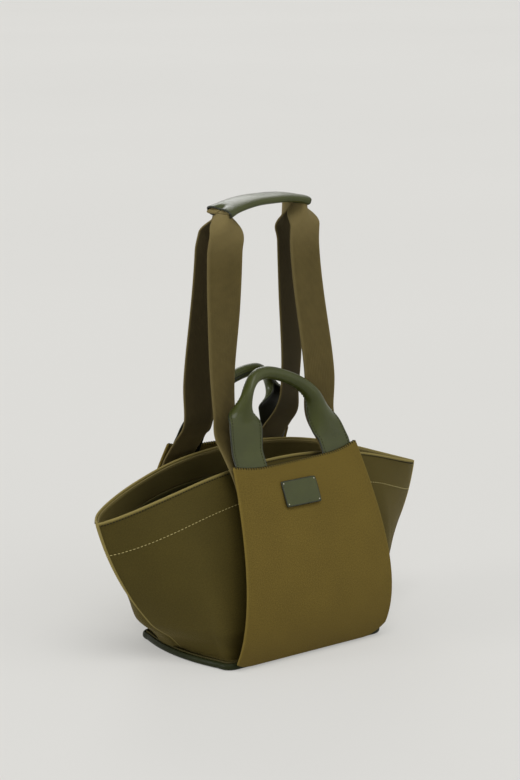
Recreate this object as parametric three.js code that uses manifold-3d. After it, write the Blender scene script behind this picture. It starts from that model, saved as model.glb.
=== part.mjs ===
// A winged shopper bag with two rolled leather handles and a padded shoulder strap.
// Millimetres, +Z up, origin at the middle of the underside, +X along the length, front towards -Y.
import * as THREE from "three";
import { mergeVertices } from "three/addons/utils/BufferGeometryUtils.js";
import Module from "manifold-3d";

// Clearance between pieces that are sewn or laid against each other
const SEAM_GAP = 0.3;

// Thickness of each material
const SHELL_THICKNESS = 3;
const HEM_THICKNESS = 1.6;
const LINING_THICKNESS = 1.2;
const LEATHER_THICKNESS = 2;
const WEBBING_THICKNESS = 2;

// Leather base pan, its stiffening board and the way its short ends bow out
const BASE_LENGTH = 244;
const BASE_DEPTH = 160;
const BASE_END_BOW = 10;
const BASE_CORNER_RADIUS = 16;
const BASE_FLOOR_THICKNESS = 2.5;
const BASE_RIM_THICKNESS = 2.2;
const BASE_RIM_HEIGHT = 12;
const BOARD_THICKNESS = 2.5;

// Mouth of the body: two pointed wing tips, highest and widest in the middle
const MOUTH_LENGTH = 452;
const MOUTH_DEPTH = 74;
const MOUTH_HEIGHT = 212;
const TIP_HEIGHT = 165;
const MOUTH_STRAIGHT = 105;
const TIP_PULL = { along: 50, out: 26, up: 13 };

// Swell of the body walls between the base and the mouth
const FRONT_SWELL = 34;
const END_SWELL = 24;
const END_DROP = 17;
const HEM_DEPTH = 35;

// Outer panels, which stand proud of the body and are open at the top
const PANEL_TOP_WIDTH = 172;
const PANEL_FOOT_WIDTH = 206;
const PANEL_HEIGHT = 220;
const PANEL_TOP_SPACING = 117;
const PANEL_FLOOR_GAP = 0.8;
const PANEL_FOOT_PULL = { along: 5, out: 38, up: 53 };
const PANEL_TOP_PULL = { along: 12, out: 42, up: 85 };
const PANEL_CROWN = 4;
const PANEL_TOP_DIP = 7.5;
const PANEL_DIP_WIDTH = 80;
const GUSSET_THICKNESS = 1.5;
const GUSSET_INSET = 24;
const GUSSET_FOOT = 0.065;
const GUSSET_TOP = 0.8;

// Label plate on the front outer panel
const LABEL_WIDTH = 48;
const LABEL_HEIGHT = 29;
const LABEL_THICKNESS = 1.6;
const LABEL_CORNER = 1.5;
const LABEL_BEVEL = 0.4;
const LABEL_CENTRE = { along: -9, drop: 38 };

// Handles: flat tabs that roll up into a tube
const HANDLE_SPACING = 121;
const HANDLE_TAB_WIDTH = 40;
const HANDLE_STRAP_WIDTH = 42;
const HANDLE_TAB_LAP = 18;
const HANDLE_HINGE_RISE = 10;
const HANDLE_SQUARE_RISE = 24;
const HANDLE_STEEP_ROLL = { from: 22, to: 58 };
const HANDLE_SLACK_ROLL = { from: 5, to: 66 };
const HANDLE_SLIT = 1.6;
const HANDLE_CORE_CLEARANCE = 0.5;
const HANDLE_CROWN = { along: -20, up: 81.5 };
const HANDLE_STEEP_SIDE = [
  { inset: 4, up: 30 },
  { inset: 10.5, up: 60 },
  { inset: 24.5, up: 78 },
];
const HANDLE_SLACK_SIDE = [
  { inset: 9.5, up: 28 },
  { inset: 18.5, up: 50 },
  { inset: 43.5, up: 69 },
];
const FRONT_HANDLE = { lean: 14, stretch: 1 };
const BACK_HANDLE = { lean: 5, stretch: 0.8 };

// Shoulder strap: four webbing legs under a leather pad
const WEBBING_WIDTH = 38;
const STRAP_SPACING = 116;
const STRAP_LAP = 20;
const STRAP_BEND_DROP = 16;
const STRAP_LEAN = 38;
const STRAP_LEAN_LENGTH = 58;
const STRAP_UPRIGHT_HEIGHT = 295;
const STRAP_NEAR_OFFSET = 16;
const STRAP_FAR_OFFSET = 24;
const STRAP_PIVOT_GAP = 0.5;
const STRAP_PIVOT_RISE = 18;
const STRAP_TAIL_DROP = 13.5;
const STRAP_FOLD_LENGTH = 42;
const STRAP_CREASE = 5;
const PAD_TURN = 5;
const PAD_LENGTH = 124;
const PAD_WIDTH = 42;
const PAD_THICKNESS = 9;
const PAD_TOP = 497;
const PAD_RISE = 13;
const PAD_BEVEL = 2;
const PAD_HOLLOW_REACH = 1.2;

// Magnetic snap at the mouth
const SNAP_DIAMETER = 18;
const SNAP_THICKNESS = 2.4;
const SNAP_DROP = 17;
const SNAP_STUD_DIAMETER = 8;
const SNAP_STUD_RISE = 2;

// Zip pocket on the back lining
const ZIP_LENGTH = 120;
const ZIP_DROP = 54;
const ZIP_TAPE_WIDTH = 22;
const ZIP_TAPE_MARGIN = 6;
const ZIP_TAPE_THICKNESS = 0.8;
const ZIP_CHAIN_WIDTH = 5;
const ZIP_CHAIN_THICKNESS = 1.4;
const ZIP_SLIDER = { length: 11, width: 8, thickness: 3, corner: 2 };
const ZIP_SLIDER_CLEARANCE = 0.5;
const ZIP_BAIL = { length: 5, width: 2.4, rise: 3.5 };
const ZIP_EYE = { radius: 0.9, rise: 1.7 };
const ZIP_PULL = { length: 22, width: 7, thickness: 1 };
const POCKET_BAG = { depth: 95, thickness: 1 };

// Colours, roughness and metalness
const FINISHES = {
  shell: { color: 0x4a4220, roughness: 0.7, metalness: 0 },
  panel: { color: 0x5f5128, roughness: 0.8, metalness: 0 },
  lining: { color: 0x2b2817, roughness: 0.9, metalness: 0 },
  leather: { color: 0x4b523a, roughness: 0.45, metalness: 0 },
  webbing: { color: 0x4f462a, roughness: 0.9, metalness: 0 },
  board: { color: 0x8a7f6a, roughness: 0.9, metalness: 0 },
  metal: { color: 0xb9b4a6, roughness: 0.3, metalness: 1 },
};

const wasm = await Module();
wasm.setup();

const bag = new THREE.Group();
bag.name = "shopper_bag";

// Solids and booleans

function solidOf(geometry) {
  const plain = geometry.clone();
  plain.deleteAttribute("normal");
  plain.deleteAttribute("uv");
  const merged = mergeVertices(plain, 1e-4);
  return new wasm.Manifold(
    new wasm.Mesh({
      numProp: 3,
      vertProperties: merged.attributes.position.array,
      triVerts: new Uint32Array(merged.index.array),
    }),
  );
}

function geometryOf(solid) {
  const mesh = solid.getMesh();
  const geometry = new THREE.BufferGeometry();
  geometry.setAttribute("position", new THREE.BufferAttribute(Float32Array.from(mesh.vertProperties), 3));
  geometry.setIndex(new THREE.BufferAttribute(Uint32Array.from(mesh.triVerts), 1));
  geometry.computeVertexNormals();
  return geometry;
}

const join = (a, b) => geometryOf(solidOf(a).add(solidOf(b)));
const cut = (a, b) => geometryOf(solidOf(a).subtract(solidOf(b)));
const keep = (a, b) => geometryOf(solidOf(a).intersect(solidOf(b)));

function addMesh(name, geometry, finish) {
  const mesh = new THREE.Mesh(geometry, new THREE.MeshStandardMaterial(FINISHES[finish]));
  mesh.name = name;
  bag.add(mesh);
  return mesh;
}

// The back of the bag is the front turned half round, and its left is its right mirrored.
const turned = (geometry) => geometry.clone().rotateZ(Math.PI);
const mirrored = (geometry) => geometryOf(solidOf(geometry).mirror([1, 0, 0]));

function addCorners(name, finish, right, left = right) {
  addMesh(`front_right_${name}`, right, finish);
  addMesh(`front_left_${name}`, mirrored(left), finish);
  addMesh(`back_left_${name}`, turned(right), finish);
  addMesh(`back_right_${name}`, turned(mirrored(left)), finish);
}

// Sheets and bands

function normalAt(surface, u, v) {
  const step = 1e-3;
  const along = surface(Math.min(u + step, 1), v).sub(surface(Math.max(u - step, 0), v));
  const up = surface(u, Math.min(v + step, 1)).sub(surface(u, Math.max(v - step, 0)));
  return along.cross(up).normalize();
}

// A closed sheet: its outer face lies "depth" behind surface(u, v), its inner face one thickness further.
function thickSheet(surface, columns, rows, thickness, depth = 0) {
  const outer = [];
  const inner = [];
  for (let row = 0; row <= rows; row++) {
    for (let column = 0; column <= columns; column++) {
      const u = column / columns;
      const v = row / rows;
      const point = surface(u, v);
      const normal = normalAt(surface, u, v);
      outer.push(point.clone().addScaledVector(normal, -depth));
      inner.push(point.clone().addScaledVector(normal, -depth - thickness));
    }
  }
  const at = (column, row) => row * (columns + 1) + column;
  const behind = outer.length;
  const faces = [];
  for (let row = 0; row < rows; row++) {
    for (let column = 0; column < columns; column++) {
      const a = at(column, row);
      const b = at(column + 1, row);
      const c = at(column + 1, row + 1);
      const d = at(column, row + 1);
      faces.push(a, b, c, a, c, d);
      faces.push(a + behind, c + behind, b + behind, a + behind, d + behind, c + behind);
    }
  }
  const edge = [];
  for (let column = 0; column < columns; column++) edge.push(at(column, 0));
  for (let row = 0; row < rows; row++) edge.push(at(columns, row));
  for (let column = columns; column > 0; column--) edge.push(at(column, rows));
  for (let row = rows; row > 0; row--) edge.push(at(0, row));
  edge.forEach((p, index) => {
    const q = edge[(index + 1) % edge.length];
    faces.push(q, p, p + behind, q, p + behind, q + behind);
  });
  const geometry = new THREE.BufferGeometry().setFromPoints([...outer, ...inner]);
  geometry.setIndex(faces);
  geometry.computeVertexNormals();
  return geometry;
}

const vector = (x, y, z) => new THREE.Vector3(x, y, z);
const radians = THREE.MathUtils.degToRad;

// Large blocks that keep one side of a seam or one end of a strap
const REACH = 2 * (MOUTH_LENGTH + PAD_TOP);

function frontHalf(geometry) {
  const block = new THREE.BoxGeometry(REACH, REACH, REACH);
  block.translate(0, -(REACH + SEAM_GAP) / 2, 0);
  return keep(geometry, block);
}

function blockAbove(height) {
  return new THREE.BoxGeometry(REACH, REACH, REACH).translate(0, 0, height + REACH / 2);
}

// Base: pan, board and the lining of the floor

function baseOutline(inset) {
  const length = BASE_LENGTH / 2 - inset;
  const depth = BASE_DEPTH / 2 - inset;
  const radius = Math.max(BASE_CORNER_RADIUS - inset, 1);
  const corner = length - BASE_END_BOW;
  const bulge = 2 * length - corner;
  const shape = new THREE.Shape();
  shape.moveTo(-corner + radius, -depth);
  shape.lineTo(corner - radius, -depth);
  shape.quadraticCurveTo(corner, -depth, corner, -depth + radius);
  shape.quadraticCurveTo(bulge, 0, corner, depth - radius);
  shape.quadraticCurveTo(corner, depth, corner - radius, depth);
  shape.lineTo(-corner + radius, depth);
  shape.quadraticCurveTo(-corner, depth, -corner, depth - radius);
  shape.quadraticCurveTo(-bulge, 0, -corner, -depth + radius);
  shape.quadraticCurveTo(-corner, -depth, -corner + radius, -depth);
  return shape;
}

function baseSlab(inset, low, high) {
  const slab = new THREE.ExtrudeGeometry(baseOutline(inset), {
    depth: high - low,
    bevelEnabled: false,
    curveSegments: 6,
  });
  return slab.translate(0, 0, low);
}

const boardFoot = BASE_FLOOR_THICKNESS + SEAM_GAP;
const trayFoot = boardFoot + BOARD_THICKNESS + SEAM_GAP;
const insideRim = BASE_RIM_THICKNESS + SEAM_GAP;
const pan = cut(baseSlab(0, 0, BASE_RIM_HEIGHT), baseSlab(BASE_RIM_THICKNESS, BASE_FLOOR_THICKNESS, REACH));
const tray = cut(
  baseSlab(insideRim, trayFoot, BASE_RIM_HEIGHT - SEAM_GAP),
  baseSlab(insideRim + LINING_THICKNESS, trayFoot + LINING_THICKNESS, REACH),
);
addMesh("base_pan", pan, "leather");
addMesh("base_board", baseSlab(insideRim, boardFoot, boardFoot + BOARD_THICKNESS), "board");
addMesh("floor_lining", tray, "lining");

// Body: ribs run from the rim of the base up to the mouth, and the walls are lofted over them

const wallFoot = BASE_RIM_HEIGHT + SEAM_GAP;
const footCorner = BASE_LENGTH / 2 - BASE_END_BOW;
const footEnd = BASE_DEPTH / 2 - BASE_CORNER_RADIUS;
const footLine = new THREE.CurvePath();
footLine.add(
  new THREE.LineCurve(
    new THREE.Vector2(0, -BASE_DEPTH / 2),
    new THREE.Vector2(footCorner - BASE_CORNER_RADIUS, -BASE_DEPTH / 2),
  ),
);
footLine.add(
  new THREE.QuadraticBezierCurve(
    new THREE.Vector2(footCorner - BASE_CORNER_RADIUS, -BASE_DEPTH / 2),
    new THREE.Vector2(footCorner, -BASE_DEPTH / 2),
    new THREE.Vector2(footCorner, -footEnd),
  ),
);
footLine.add(
  new THREE.QuadraticBezierCurve(
    new THREE.Vector2(footCorner, -footEnd),
    new THREE.Vector2(BASE_LENGTH / 2, -footEnd / 2),
    new THREE.Vector2(BASE_LENGTH / 2, 0),
  ),
);
const mouthLine = new THREE.CubicBezierCurve3(
  vector(0, -MOUTH_DEPTH / 2, MOUTH_HEIGHT),
  vector(MOUTH_STRAIGHT, -MOUTH_DEPTH / 2, MOUTH_HEIGHT),
  vector(MOUTH_LENGTH / 2 - TIP_PULL.along, -TIP_PULL.out, TIP_HEIGHT + TIP_PULL.up),
  vector(MOUTH_LENGTH / 2, 0, TIP_HEIGHT),
);

// side runs from -1 at the left end seam over 0 in the middle to 1 at the right end seam.
const ribs = new Map();
function rib(side) {
  if (ribs.has(side)) return ribs.get(side);
  const share = Math.abs(side);
  const low = footLine.getPoint(share);
  const foot = vector(low.x, low.y, wallFoot);
  const edge = mouthLine.getPointAt(share);
  const end = share ** 3;
  const swell = vector(END_SWELL * end, -FRONT_SWELL * (1 - end), -END_DROP * end);
  const middle = foot.clone().add(edge).multiplyScalar(0.5).add(swell);
  const points = [foot, middle, edge];
  if (side < 0) points.forEach((point) => point.setX(-point.x));
  const curve = new THREE.QuadraticBezierCurve3(...points);
  ribs.set(side, curve);
  return curve;
}

const wallPoint = (side, rise) => rib(side).getPointAt(THREE.MathUtils.clamp(rise, 0, 1));
const hemFoot = (side) => 1 - HEM_DEPTH / rib(side).getLength();

// Where the outer face of the front wall has the given x and z
function wallAt(x, z) {
  let side = (2 * x) / MOUTH_LENGTH;
  let point = null;
  for (let round = 0; round < 20; round++) {
    let low = 0;
    let high = 1;
    for (let halving = 0; halving < 24; halving++) {
      const middle = (low + high) / 2;
      if (wallPoint(side, middle).z < z) low = middle;
      else high = middle;
    }
    point = wallPoint(side, low);
    side = THREE.MathUtils.clamp(side + (x - point.x) / (MOUTH_LENGTH / 2), -1, 1);
  }
  return point;
}

const WALL_COLUMNS = 28;
const WALL_ROWS = { shell: 10, hem: 2, lining: 7 };
const liningDepth = SHELL_THICKNESS + SEAM_GAP + POCKET_BAG.thickness + SEAM_GAP;
const hemGap = (side) => (2 * SEAM_GAP) / rib(side).getLength();
const wallFace = (u, v) => wallPoint(2 * u - 1, v);
const shell = frontHalf(thickSheet(wallFace, WALL_COLUMNS, WALL_ROWS.shell, SHELL_THICKNESS));
const hem = frontHalf(
  thickSheet(
    (u, v) => wallPoint(2 * u - 1, THREE.MathUtils.lerp(hemFoot(2 * u - 1), 1, v)),
    WALL_COLUMNS,
    WALL_ROWS.hem,
    HEM_THICKNESS,
    SHELL_THICKNESS + SEAM_GAP,
  ),
);
const lining = frontHalf(
  thickSheet(
    (u, v) => wallPoint(2 * u - 1, (hemFoot(2 * u - 1) - hemGap(2 * u - 1)) * v),
    WALL_COLUMNS,
    WALL_ROWS.lining,
    LINING_THICKNESS,
    liningDepth,
  ),
);
addMesh("front_body", shell, "shell");
addMesh("back_body", turned(shell), "shell");
addMesh("front_hem", hem, "shell");
addMesh("back_hem", turned(hem), "shell");
addMesh("front_lining", lining, "lining");
addMesh("back_lining", turned(lining), "lining");

// Outer panels

const panelFootLean = Math.atan2(PANEL_FOOT_PULL.out, PANEL_FOOT_PULL.up);
const panelFoot = BASE_DEPTH / 2 + SEAM_GAP + SHELL_THICKNESS * Math.cos(panelFootLean);
const panelSide = new THREE.CubicBezierCurve3(
  vector(PANEL_FOOT_WIDTH / 2, -panelFoot, PANEL_FLOOR_GAP),
  vector(
    PANEL_FOOT_WIDTH / 2 + PANEL_FOOT_PULL.along,
    -panelFoot - PANEL_FOOT_PULL.out,
    PANEL_FLOOR_GAP + PANEL_FOOT_PULL.up,
  ),
  vector(
    PANEL_TOP_WIDTH / 2 + PANEL_TOP_PULL.along,
    -PANEL_TOP_SPACING / 2 - PANEL_TOP_PULL.out,
    PANEL_HEIGHT - PANEL_TOP_PULL.up,
  ),
  vector(PANEL_TOP_WIDTH / 2, -PANEL_TOP_SPACING / 2, PANEL_HEIGHT),
);

const panelLength = panelSide.getLength();

// The middle of the panel swells a little, and its top edge dips between the handles.
function panelPoint(u, v) {
  const across = 2 * u - 1;
  const rest = (PANEL_TOP_WIDTH - PANEL_DIP_WIDTH) / 2;
  const fromMiddle = (Math.abs(across) * PANEL_TOP_WIDTH) / 2;
  const raised = THREE.MathUtils.clamp((fromMiddle - PANEL_DIP_WIDTH / 2) / rest, 0, 1);
  const dip = (PANEL_TOP_DIP * (1 - raised * raised)) / panelLength;
  const rise = v - dip * v ** 3;
  const side = panelSide.getPointAt(rise);
  const out = PANEL_CROWN * (1 - across * across) * Math.sin(Math.PI * rise);
  return vector(across * side.x, side.y - out, side.z);
}

const panel = thickSheet(panelPoint, 16, 10, SHELL_THICKNESS);
addMesh("front_panel", panel, "panel");
addMesh("back_panel", turned(panel), "panel");

// Gussets close the sides of the slip pocket between panel and wall.
const gussetShare = (v) => THREE.MathUtils.lerp(GUSSET_FOOT, GUSSET_TOP, v);
function gussetPoint(u, v) {
  const rise = gussetShare(v);
  const side = panelSide.getPointAt(rise);
  const reach = 1 - GUSSET_INSET / side.x;
  const normal = normalAt(panelPoint, (1 + reach) / 2, rise);
  const front = panelPoint((1 + reach) / 2, rise).addScaledVector(normal, -SHELL_THICKNESS - 2 * SEAM_GAP);
  const back = wallAt(front.x, front.z);
  back.y -= 2 * SEAM_GAP;
  return front.lerp(back, u);
}

const gusset = thickSheet(gussetPoint, 2, 8, GUSSET_THICKNESS);
addCorners("pocket_gusset", "panel", gusset);

// Label plate on the front panel
function panelAt(x, z) {
  let low = 0;
  let high = 1;
  const share = (v) => (1 + x / panelSide.getPointAt(v).x) / 2;
  for (let halving = 0; halving < 24; halving++) {
    const middle = (low + high) / 2;
    if (panelPoint(share(middle), middle).z < z) low = middle;
    else high = middle;
  }
  return { point: panelPoint(share(low), low), normal: normalAt(panelPoint, share(low), low) };
}

function roundedRectangle(width, height, radius) {
  const shape = new THREE.Shape();
  const x = width / 2;
  const y = height / 2;
  shape.moveTo(-x + radius, -y);
  shape.lineTo(x - radius, -y);
  shape.absarc(x - radius, -y + radius, radius, -Math.PI / 2, 0);
  shape.lineTo(x, y - radius);
  shape.absarc(x - radius, y - radius, radius, 0, Math.PI / 2);
  shape.lineTo(-x + radius, y);
  shape.absarc(-x + radius, y - radius, radius, Math.PI / 2, Math.PI);
  shape.lineTo(-x, -y + radius);
  shape.absarc(-x + radius, -y + radius, radius, Math.PI, 1.5 * Math.PI);
  return shape;
}

// Turns a piece drawn in its own XY plane so that its +Z follows the normal and its +X stays level.
function layOn(mesh, point, normal) {
  const along = vector(0, 0, 1).cross(normal).normalize();
  const up = normal.clone().cross(along);
  mesh.quaternion.setFromRotationMatrix(new THREE.Matrix4().makeBasis(along, up, normal));
  mesh.position.copy(point);
}

const label = new THREE.ExtrudeGeometry(roundedRectangle(LABEL_WIDTH, LABEL_HEIGHT, LABEL_CORNER), {
  depth: LABEL_THICKNESS - LABEL_BEVEL,
  bevelThickness: LABEL_BEVEL / 2,
  bevelSize: LABEL_BEVEL,
  bevelOffset: -LABEL_BEVEL,
  bevelSegments: 1,
  curveSegments: 2,
});
label.translate(0, 0, LABEL_BEVEL / 2 + SEAM_GAP);
const labelSeat = panelAt(LABEL_CENTRE.along, PANEL_HEIGHT - LABEL_CENTRE.drop);
layOn(addMesh("label_plate", label, "leather"), labelSeat.point, labelSeat.normal);

// Handle tabs follow the back of the panel and run straight on past its top edge
function panelLine(rise) {
  if (rise <= 1) return panelSide.getPointAt(rise);
  const length = panelSide.getLength() * (rise - 1);
  return panelSide.getPointAt(1).addScaledVector(panelSide.getTangentAt(1), length);
}

const topTangent = panelSide.getTangentAt(1).setX(0).normalize();
const topInward = vector(0, topTangent.z, -topTangent.y);
const tabDepth = SHELL_THICKNESS + SEAM_GAP;
const panelTop = vector(0, -PANEL_TOP_SPACING / 2, PANEL_HEIGHT);
const handleHinge = panelTop
  .clone()
  .addScaledVector(topTangent, HANDLE_HINGE_RISE)
  .addScaledVector(topInward, tabDepth);
const tabFoot = 1 - HANDLE_TAB_LAP / panelLength;
const tabTop = 1 + (HANDLE_HINGE_RISE - SEAM_GAP) / panelLength;

function tabPoint(u, v) {
  const line = panelLine(THREE.MathUtils.lerp(tabFoot, tabTop, v));
  const x = HANDLE_SPACING / 2 + (u - 0.5) * HANDLE_TAB_WIDTH;
  return vector(x, line.y, line.z);
}

const tab = thickSheet(tabPoint, 1, 4, LEATHER_THICKNESS, tabDepth);
addCorners("handle_tab", "leather", tab);

// A handle is one strap: flat at both tabs, rolled into a tube between them.
// Its path is drawn in a plane that leans in over the mouth: x along the bag, h up the plane.
function handlePath(stretch) {
  const half = HANDLE_SPACING / 2;
  const points = [
    [-half, 0],
    ...HANDLE_STEEP_SIDE.map(({ inset, up }) => [inset - half, up]),
    [HANDLE_CROWN.along, HANDLE_CROWN.up],
    ...HANDLE_SLACK_SIDE.toReversed().map(({ inset, up }) => [half - inset, up]),
    [half, 0],
  ];
  const places = points.map(([x, up]) => vector(x, up * stretch, 0));
  return new THREE.CatmullRomCurve3(places, false, "centripetal");
}

const tubeRadius = (HANDLE_STRAP_WIDTH + HANDLE_SLIT) / (2 * Math.PI);

function handlePlane(lean) {
  const angle = radians(lean);
  const up = vector(0, Math.sin(angle), Math.cos(angle));
  const outward = vector(0, -Math.cos(angle), Math.sin(angle));
  return (x, rise, out) =>
    handleHinge.clone().setX(x).addScaledVector(up, rise).addScaledVector(outward, out);
}

// 0 where the strap lies flat, 1 where it is a closed tube
function rolledShare(place, stretch) {
  const { from, to } = place.x < 0 ? HANDLE_STEEP_ROLL : HANDLE_SLACK_ROLL;
  return THREE.MathUtils.smoothstep(place.y / stretch, from, to);
}

function handleSleeve({ lean, stretch }) {
  const path = handlePath(stretch);
  const onHandle = handlePlane(lean);
  const strapPlace = (u, v) => {
    const place = path.getPointAt(v);
    const rolled = rolledShare(place, stretch);
    const opened = THREE.MathUtils.smoothstep(place.y, 0, HANDLE_SQUARE_RISE);
    const square = vector(0, v < 0.5 ? 1 : -1, 0);
    const tangent = square.lerp(path.getTangentAt(v), opened).normalize();
    const width = THREE.MathUtils.lerp(HANDLE_TAB_WIDTH, HANDLE_STRAP_WIDTH, opened);
    const bend = Math.max(rolled, 1e-4) / tubeRadius;
    const angle = (u - 0.5) * width * bend;
    const across = Math.sin(angle) / bend;
    const out = (Math.cos(angle) - 1) / bend + rolled * tubeRadius;
    return onHandle(place.x + across * tangent.y, place.y - across * tangent.x, out);
  };
  return thickSheet(strapPlace, 10, 30, LEATHER_THICKNESS);
}

function handleCore({ lean, stretch }) {
  const path = handlePath(stretch);
  const onHandle = handlePlane(lean);
  const samples = 80;
  const points = [];
  for (let index = 0; index <= samples; index++) {
    const place = path.getPointAt(index / samples);
    if (rolledShare(place, stretch) === 1) points.push(onHandle(place.x, place.y, 0));
  }
  const radius = tubeRadius - LEATHER_THICKNESS - HANDLE_CORE_CLEARANCE;
  const circle = new THREE.Shape().absarc(0, 0, radius, 0, 2 * Math.PI);
  return new THREE.ExtrudeGeometry(circle, {
    extrudePath: new THREE.CatmullRomCurve3(points),
    steps: 16,
    curveSegments: 5,
  });
}

addMesh("front_handle", handleSleeve(FRONT_HANDLE), "leather");
addMesh("back_handle", turned(handleSleeve(BACK_HANDLE)), "leather");
addMesh("front_handle_core", handleCore(FRONT_HANDLE), "webbing");
addMesh("back_handle_core", turned(handleCore(BACK_HANDLE)), "webbing");

// Shoulder pad: an arched leather sleeve round two folded webbings
const padHalf = PAD_LENGTH / 2;
const padRadius = (padHalf * padHalf + PAD_RISE * PAD_RISE) / (2 * PAD_RISE);
const padCentre = PAD_TOP - padRadius;
const padSpread = Math.asin(padHalf / padRadius);

// An arched band between two depths under the top of the pad
function padBand(top, bottom, spread, width, bevel) {
  const shape = new THREE.Shape();
  shape.absarc(0, padCentre, padRadius - top, Math.PI / 2 - spread, Math.PI / 2 + spread);
  shape.absarc(0, padCentre, padRadius - bottom, Math.PI / 2 + spread, Math.PI / 2 - spread, true);
  const band = new THREE.ExtrudeGeometry(shape, {
    depth: width - 2 * bevel,
    bevelEnabled: bevel > 0,
    bevelThickness: bevel,
    bevelSize: bevel,
    bevelOffset: -bevel,
    bevelSegments: 1,
    curveSegments: 12,
  });
  return band.translate(0, 0, bevel - width / 2).rotateX(Math.PI / 2);
}

const padHollow = padBand(
  LEATHER_THICKNESS,
  PAD_THICKNESS - LEATHER_THICKNESS,
  padSpread * PAD_HOLLOW_REACH,
  PAD_WIDTH - 2 * LEATHER_THICKNESS,
  0,
);
const padBlock = padBand(0, PAD_THICKNESS, padSpread, PAD_WIDTH, PAD_BEVEL);
const strapX = STRAP_SPACING / 2;
const padTurn = Math.asin(PAD_TURN / strapX);
addMesh("shoulder_pad", cut(padBlock, padHollow).rotateZ(padTurn), "leather");
const topWidth = PAD_WIDTH / 2 - LEATHER_THICKNESS - 1.5 * SEAM_GAP;
const strapTop = padBand(
  LEATHER_THICKNESS + SEAM_GAP,
  PAD_THICKNESS - LEATHER_THICKNESS - SEAM_GAP,
  padSpread,
  topWidth,
  0,
);
strapTop.translate(0, -(topWidth + SEAM_GAP) / 2, 0).rotateZ(padTurn);
addMesh("front_strap_top", strapTop, "webbing");
addMesh("back_strap_top", turned(strapTop), "webbing");

// Strap legs: flat webbing leaves the back of a handle tab, leans in over the mouth and rises to the pad,
// where it folds in half lengthwise. Each is drawn at the front right.
const strapDepth = tabDepth + LEATHER_THICKNESS + 3 * SEAM_GAP + WEBBING_THICKNESS / 2;
const creaseRadius = STRAP_CREASE / (Math.PI / 2);
const foldDepth = creaseRadius + WEBBING_WIDTH / 2 - STRAP_CREASE;
const padPivotRadius = padRadius - PAD_THICKNESS - SEAM_GAP - creaseRadius;
const padPivotHeight = padCentre + Math.sqrt(padPivotRadius ** 2 - strapX ** 2);
const strapFoot = panelTop
  .clone()
  .addScaledVector(topInward, strapDepth)
  .addScaledVector(topTangent, -STRAP_LAP - STRAP_BEND_DROP);
const strapBend = strapFoot.clone().addScaledVector(topTangent, STRAP_LAP);
const strapLean = vector(0, Math.sin(radians(STRAP_LEAN)), Math.cos(radians(STRAP_LEAN)));
const strapLeant = strapBend.clone().addScaledVector(strapLean, STRAP_LEAN_LENGTH);

function strapLine(offset, shift) {
  const upright = vector(0, -offset, STRAP_UPRIGHT_HEIGHT);
  const head = vector(0, shift - foldDepth - SEAM_GAP, padPivotHeight);
  const places = [
    strapFoot,
    strapBend,
    strapBend.clone().lerp(strapLeant, 0.5),
    strapLeant,
    upright,
    upright.clone().lerp(head, 0.5),
    head,
    head.clone().setZ(padPivotHeight + creaseRadius),
  ];
  return new THREE.CatmullRomCurve3(places, false, "centripetal");
}

// Across the webbing: its two edges, and the middle strip that bends when it folds
const halfWebbing = WEBBING_WIDTH / 2;
const creaseStep = STRAP_CREASE / 3;
const strapThreads = [-halfWebbing, -STRAP_CREASE, -creaseStep, creaseStep, STRAP_CREASE, halfWebbing];
function threadAt(u) {
  const last = strapThreads.length - 1;
  const index = Math.min(Math.floor(u * last), last - 1);
  return THREE.MathUtils.lerp(strapThreads[index], strapThreads[index + 1], u * last - index);
}

function strapSheet(offset, shift) {
  const line = strapLine(offset, shift);
  const foldEnd = padPivotHeight - creaseRadius;
  const webbingPlace = (u, v) => {
    const place = line.getPointAt(v);
    const fold = THREE.MathUtils.smoothstep(place.z, foldEnd - STRAP_FOLD_LENGTH, foldEnd);
    const angle = (Math.max(fold, 1e-4) * Math.PI) / 2;
    const thread = threadAt(u);
    const bent = THREE.MathUtils.clamp(thread, -STRAP_CREASE, STRAP_CREASE);
    const flat = Math.abs(thread - bent);
    const radius = STRAP_CREASE / angle;
    const x = radius * Math.sin(bent / radius) + Math.sign(thread) * flat * Math.cos(angle);
    const back = radius * (1 - Math.cos(bent / radius)) + flat * Math.sin(angle);
    return vector(strapX + x, place.y + back, place.z);
  };
  return thickSheet(webbingPlace, strapThreads.length - 1, 28, WEBBING_THICKNESS, -WEBBING_THICKNESS / 2);
}

// A leg turns in its own plane on a round end as wide as the webbing, in a hollow at the top of the tail.
// Its upper end is rounded about the line on which the pad turns.
const swayRadius = WEBBING_WIDTH / 2;
const swayHeight = PANEL_HEIGHT + STRAP_PIVOT_RISE;
function discAt(height, radius, segments) {
  return new THREE.CylinderGeometry(radius, radius, REACH, segments).translate(strapX, 0, height);
}
const legHeight = padPivotHeight - swayHeight;
const legBlock = new THREE.BoxGeometry(REACH, REACH, legHeight).translate(0, 0, swayHeight + legHeight / 2);
const legEnds = join(discAt(swayHeight, swayRadius, 40), discAt(padPivotHeight, creaseRadius, 16));
const legRegion = join(legBlock, legEnds);
const tailTop = blockAbove(swayHeight - STRAP_TAIL_DROP);
const tailHollow = join(discAt(swayHeight, swayRadius + STRAP_PIVOT_GAP, 40), tailTop);
const farStrap = strapSheet(STRAP_FAR_OFFSET, PAD_TURN);
const nearStrap = strapSheet(STRAP_NEAR_OFFSET, -PAD_TURN);
addCorners("strap_leg", "webbing", keep(farStrap, legRegion), keep(nearStrap, legRegion));
addCorners("strap_tail", "webbing", cut(farStrap, tailHollow), cut(nearStrap, tailHollow));

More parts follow.
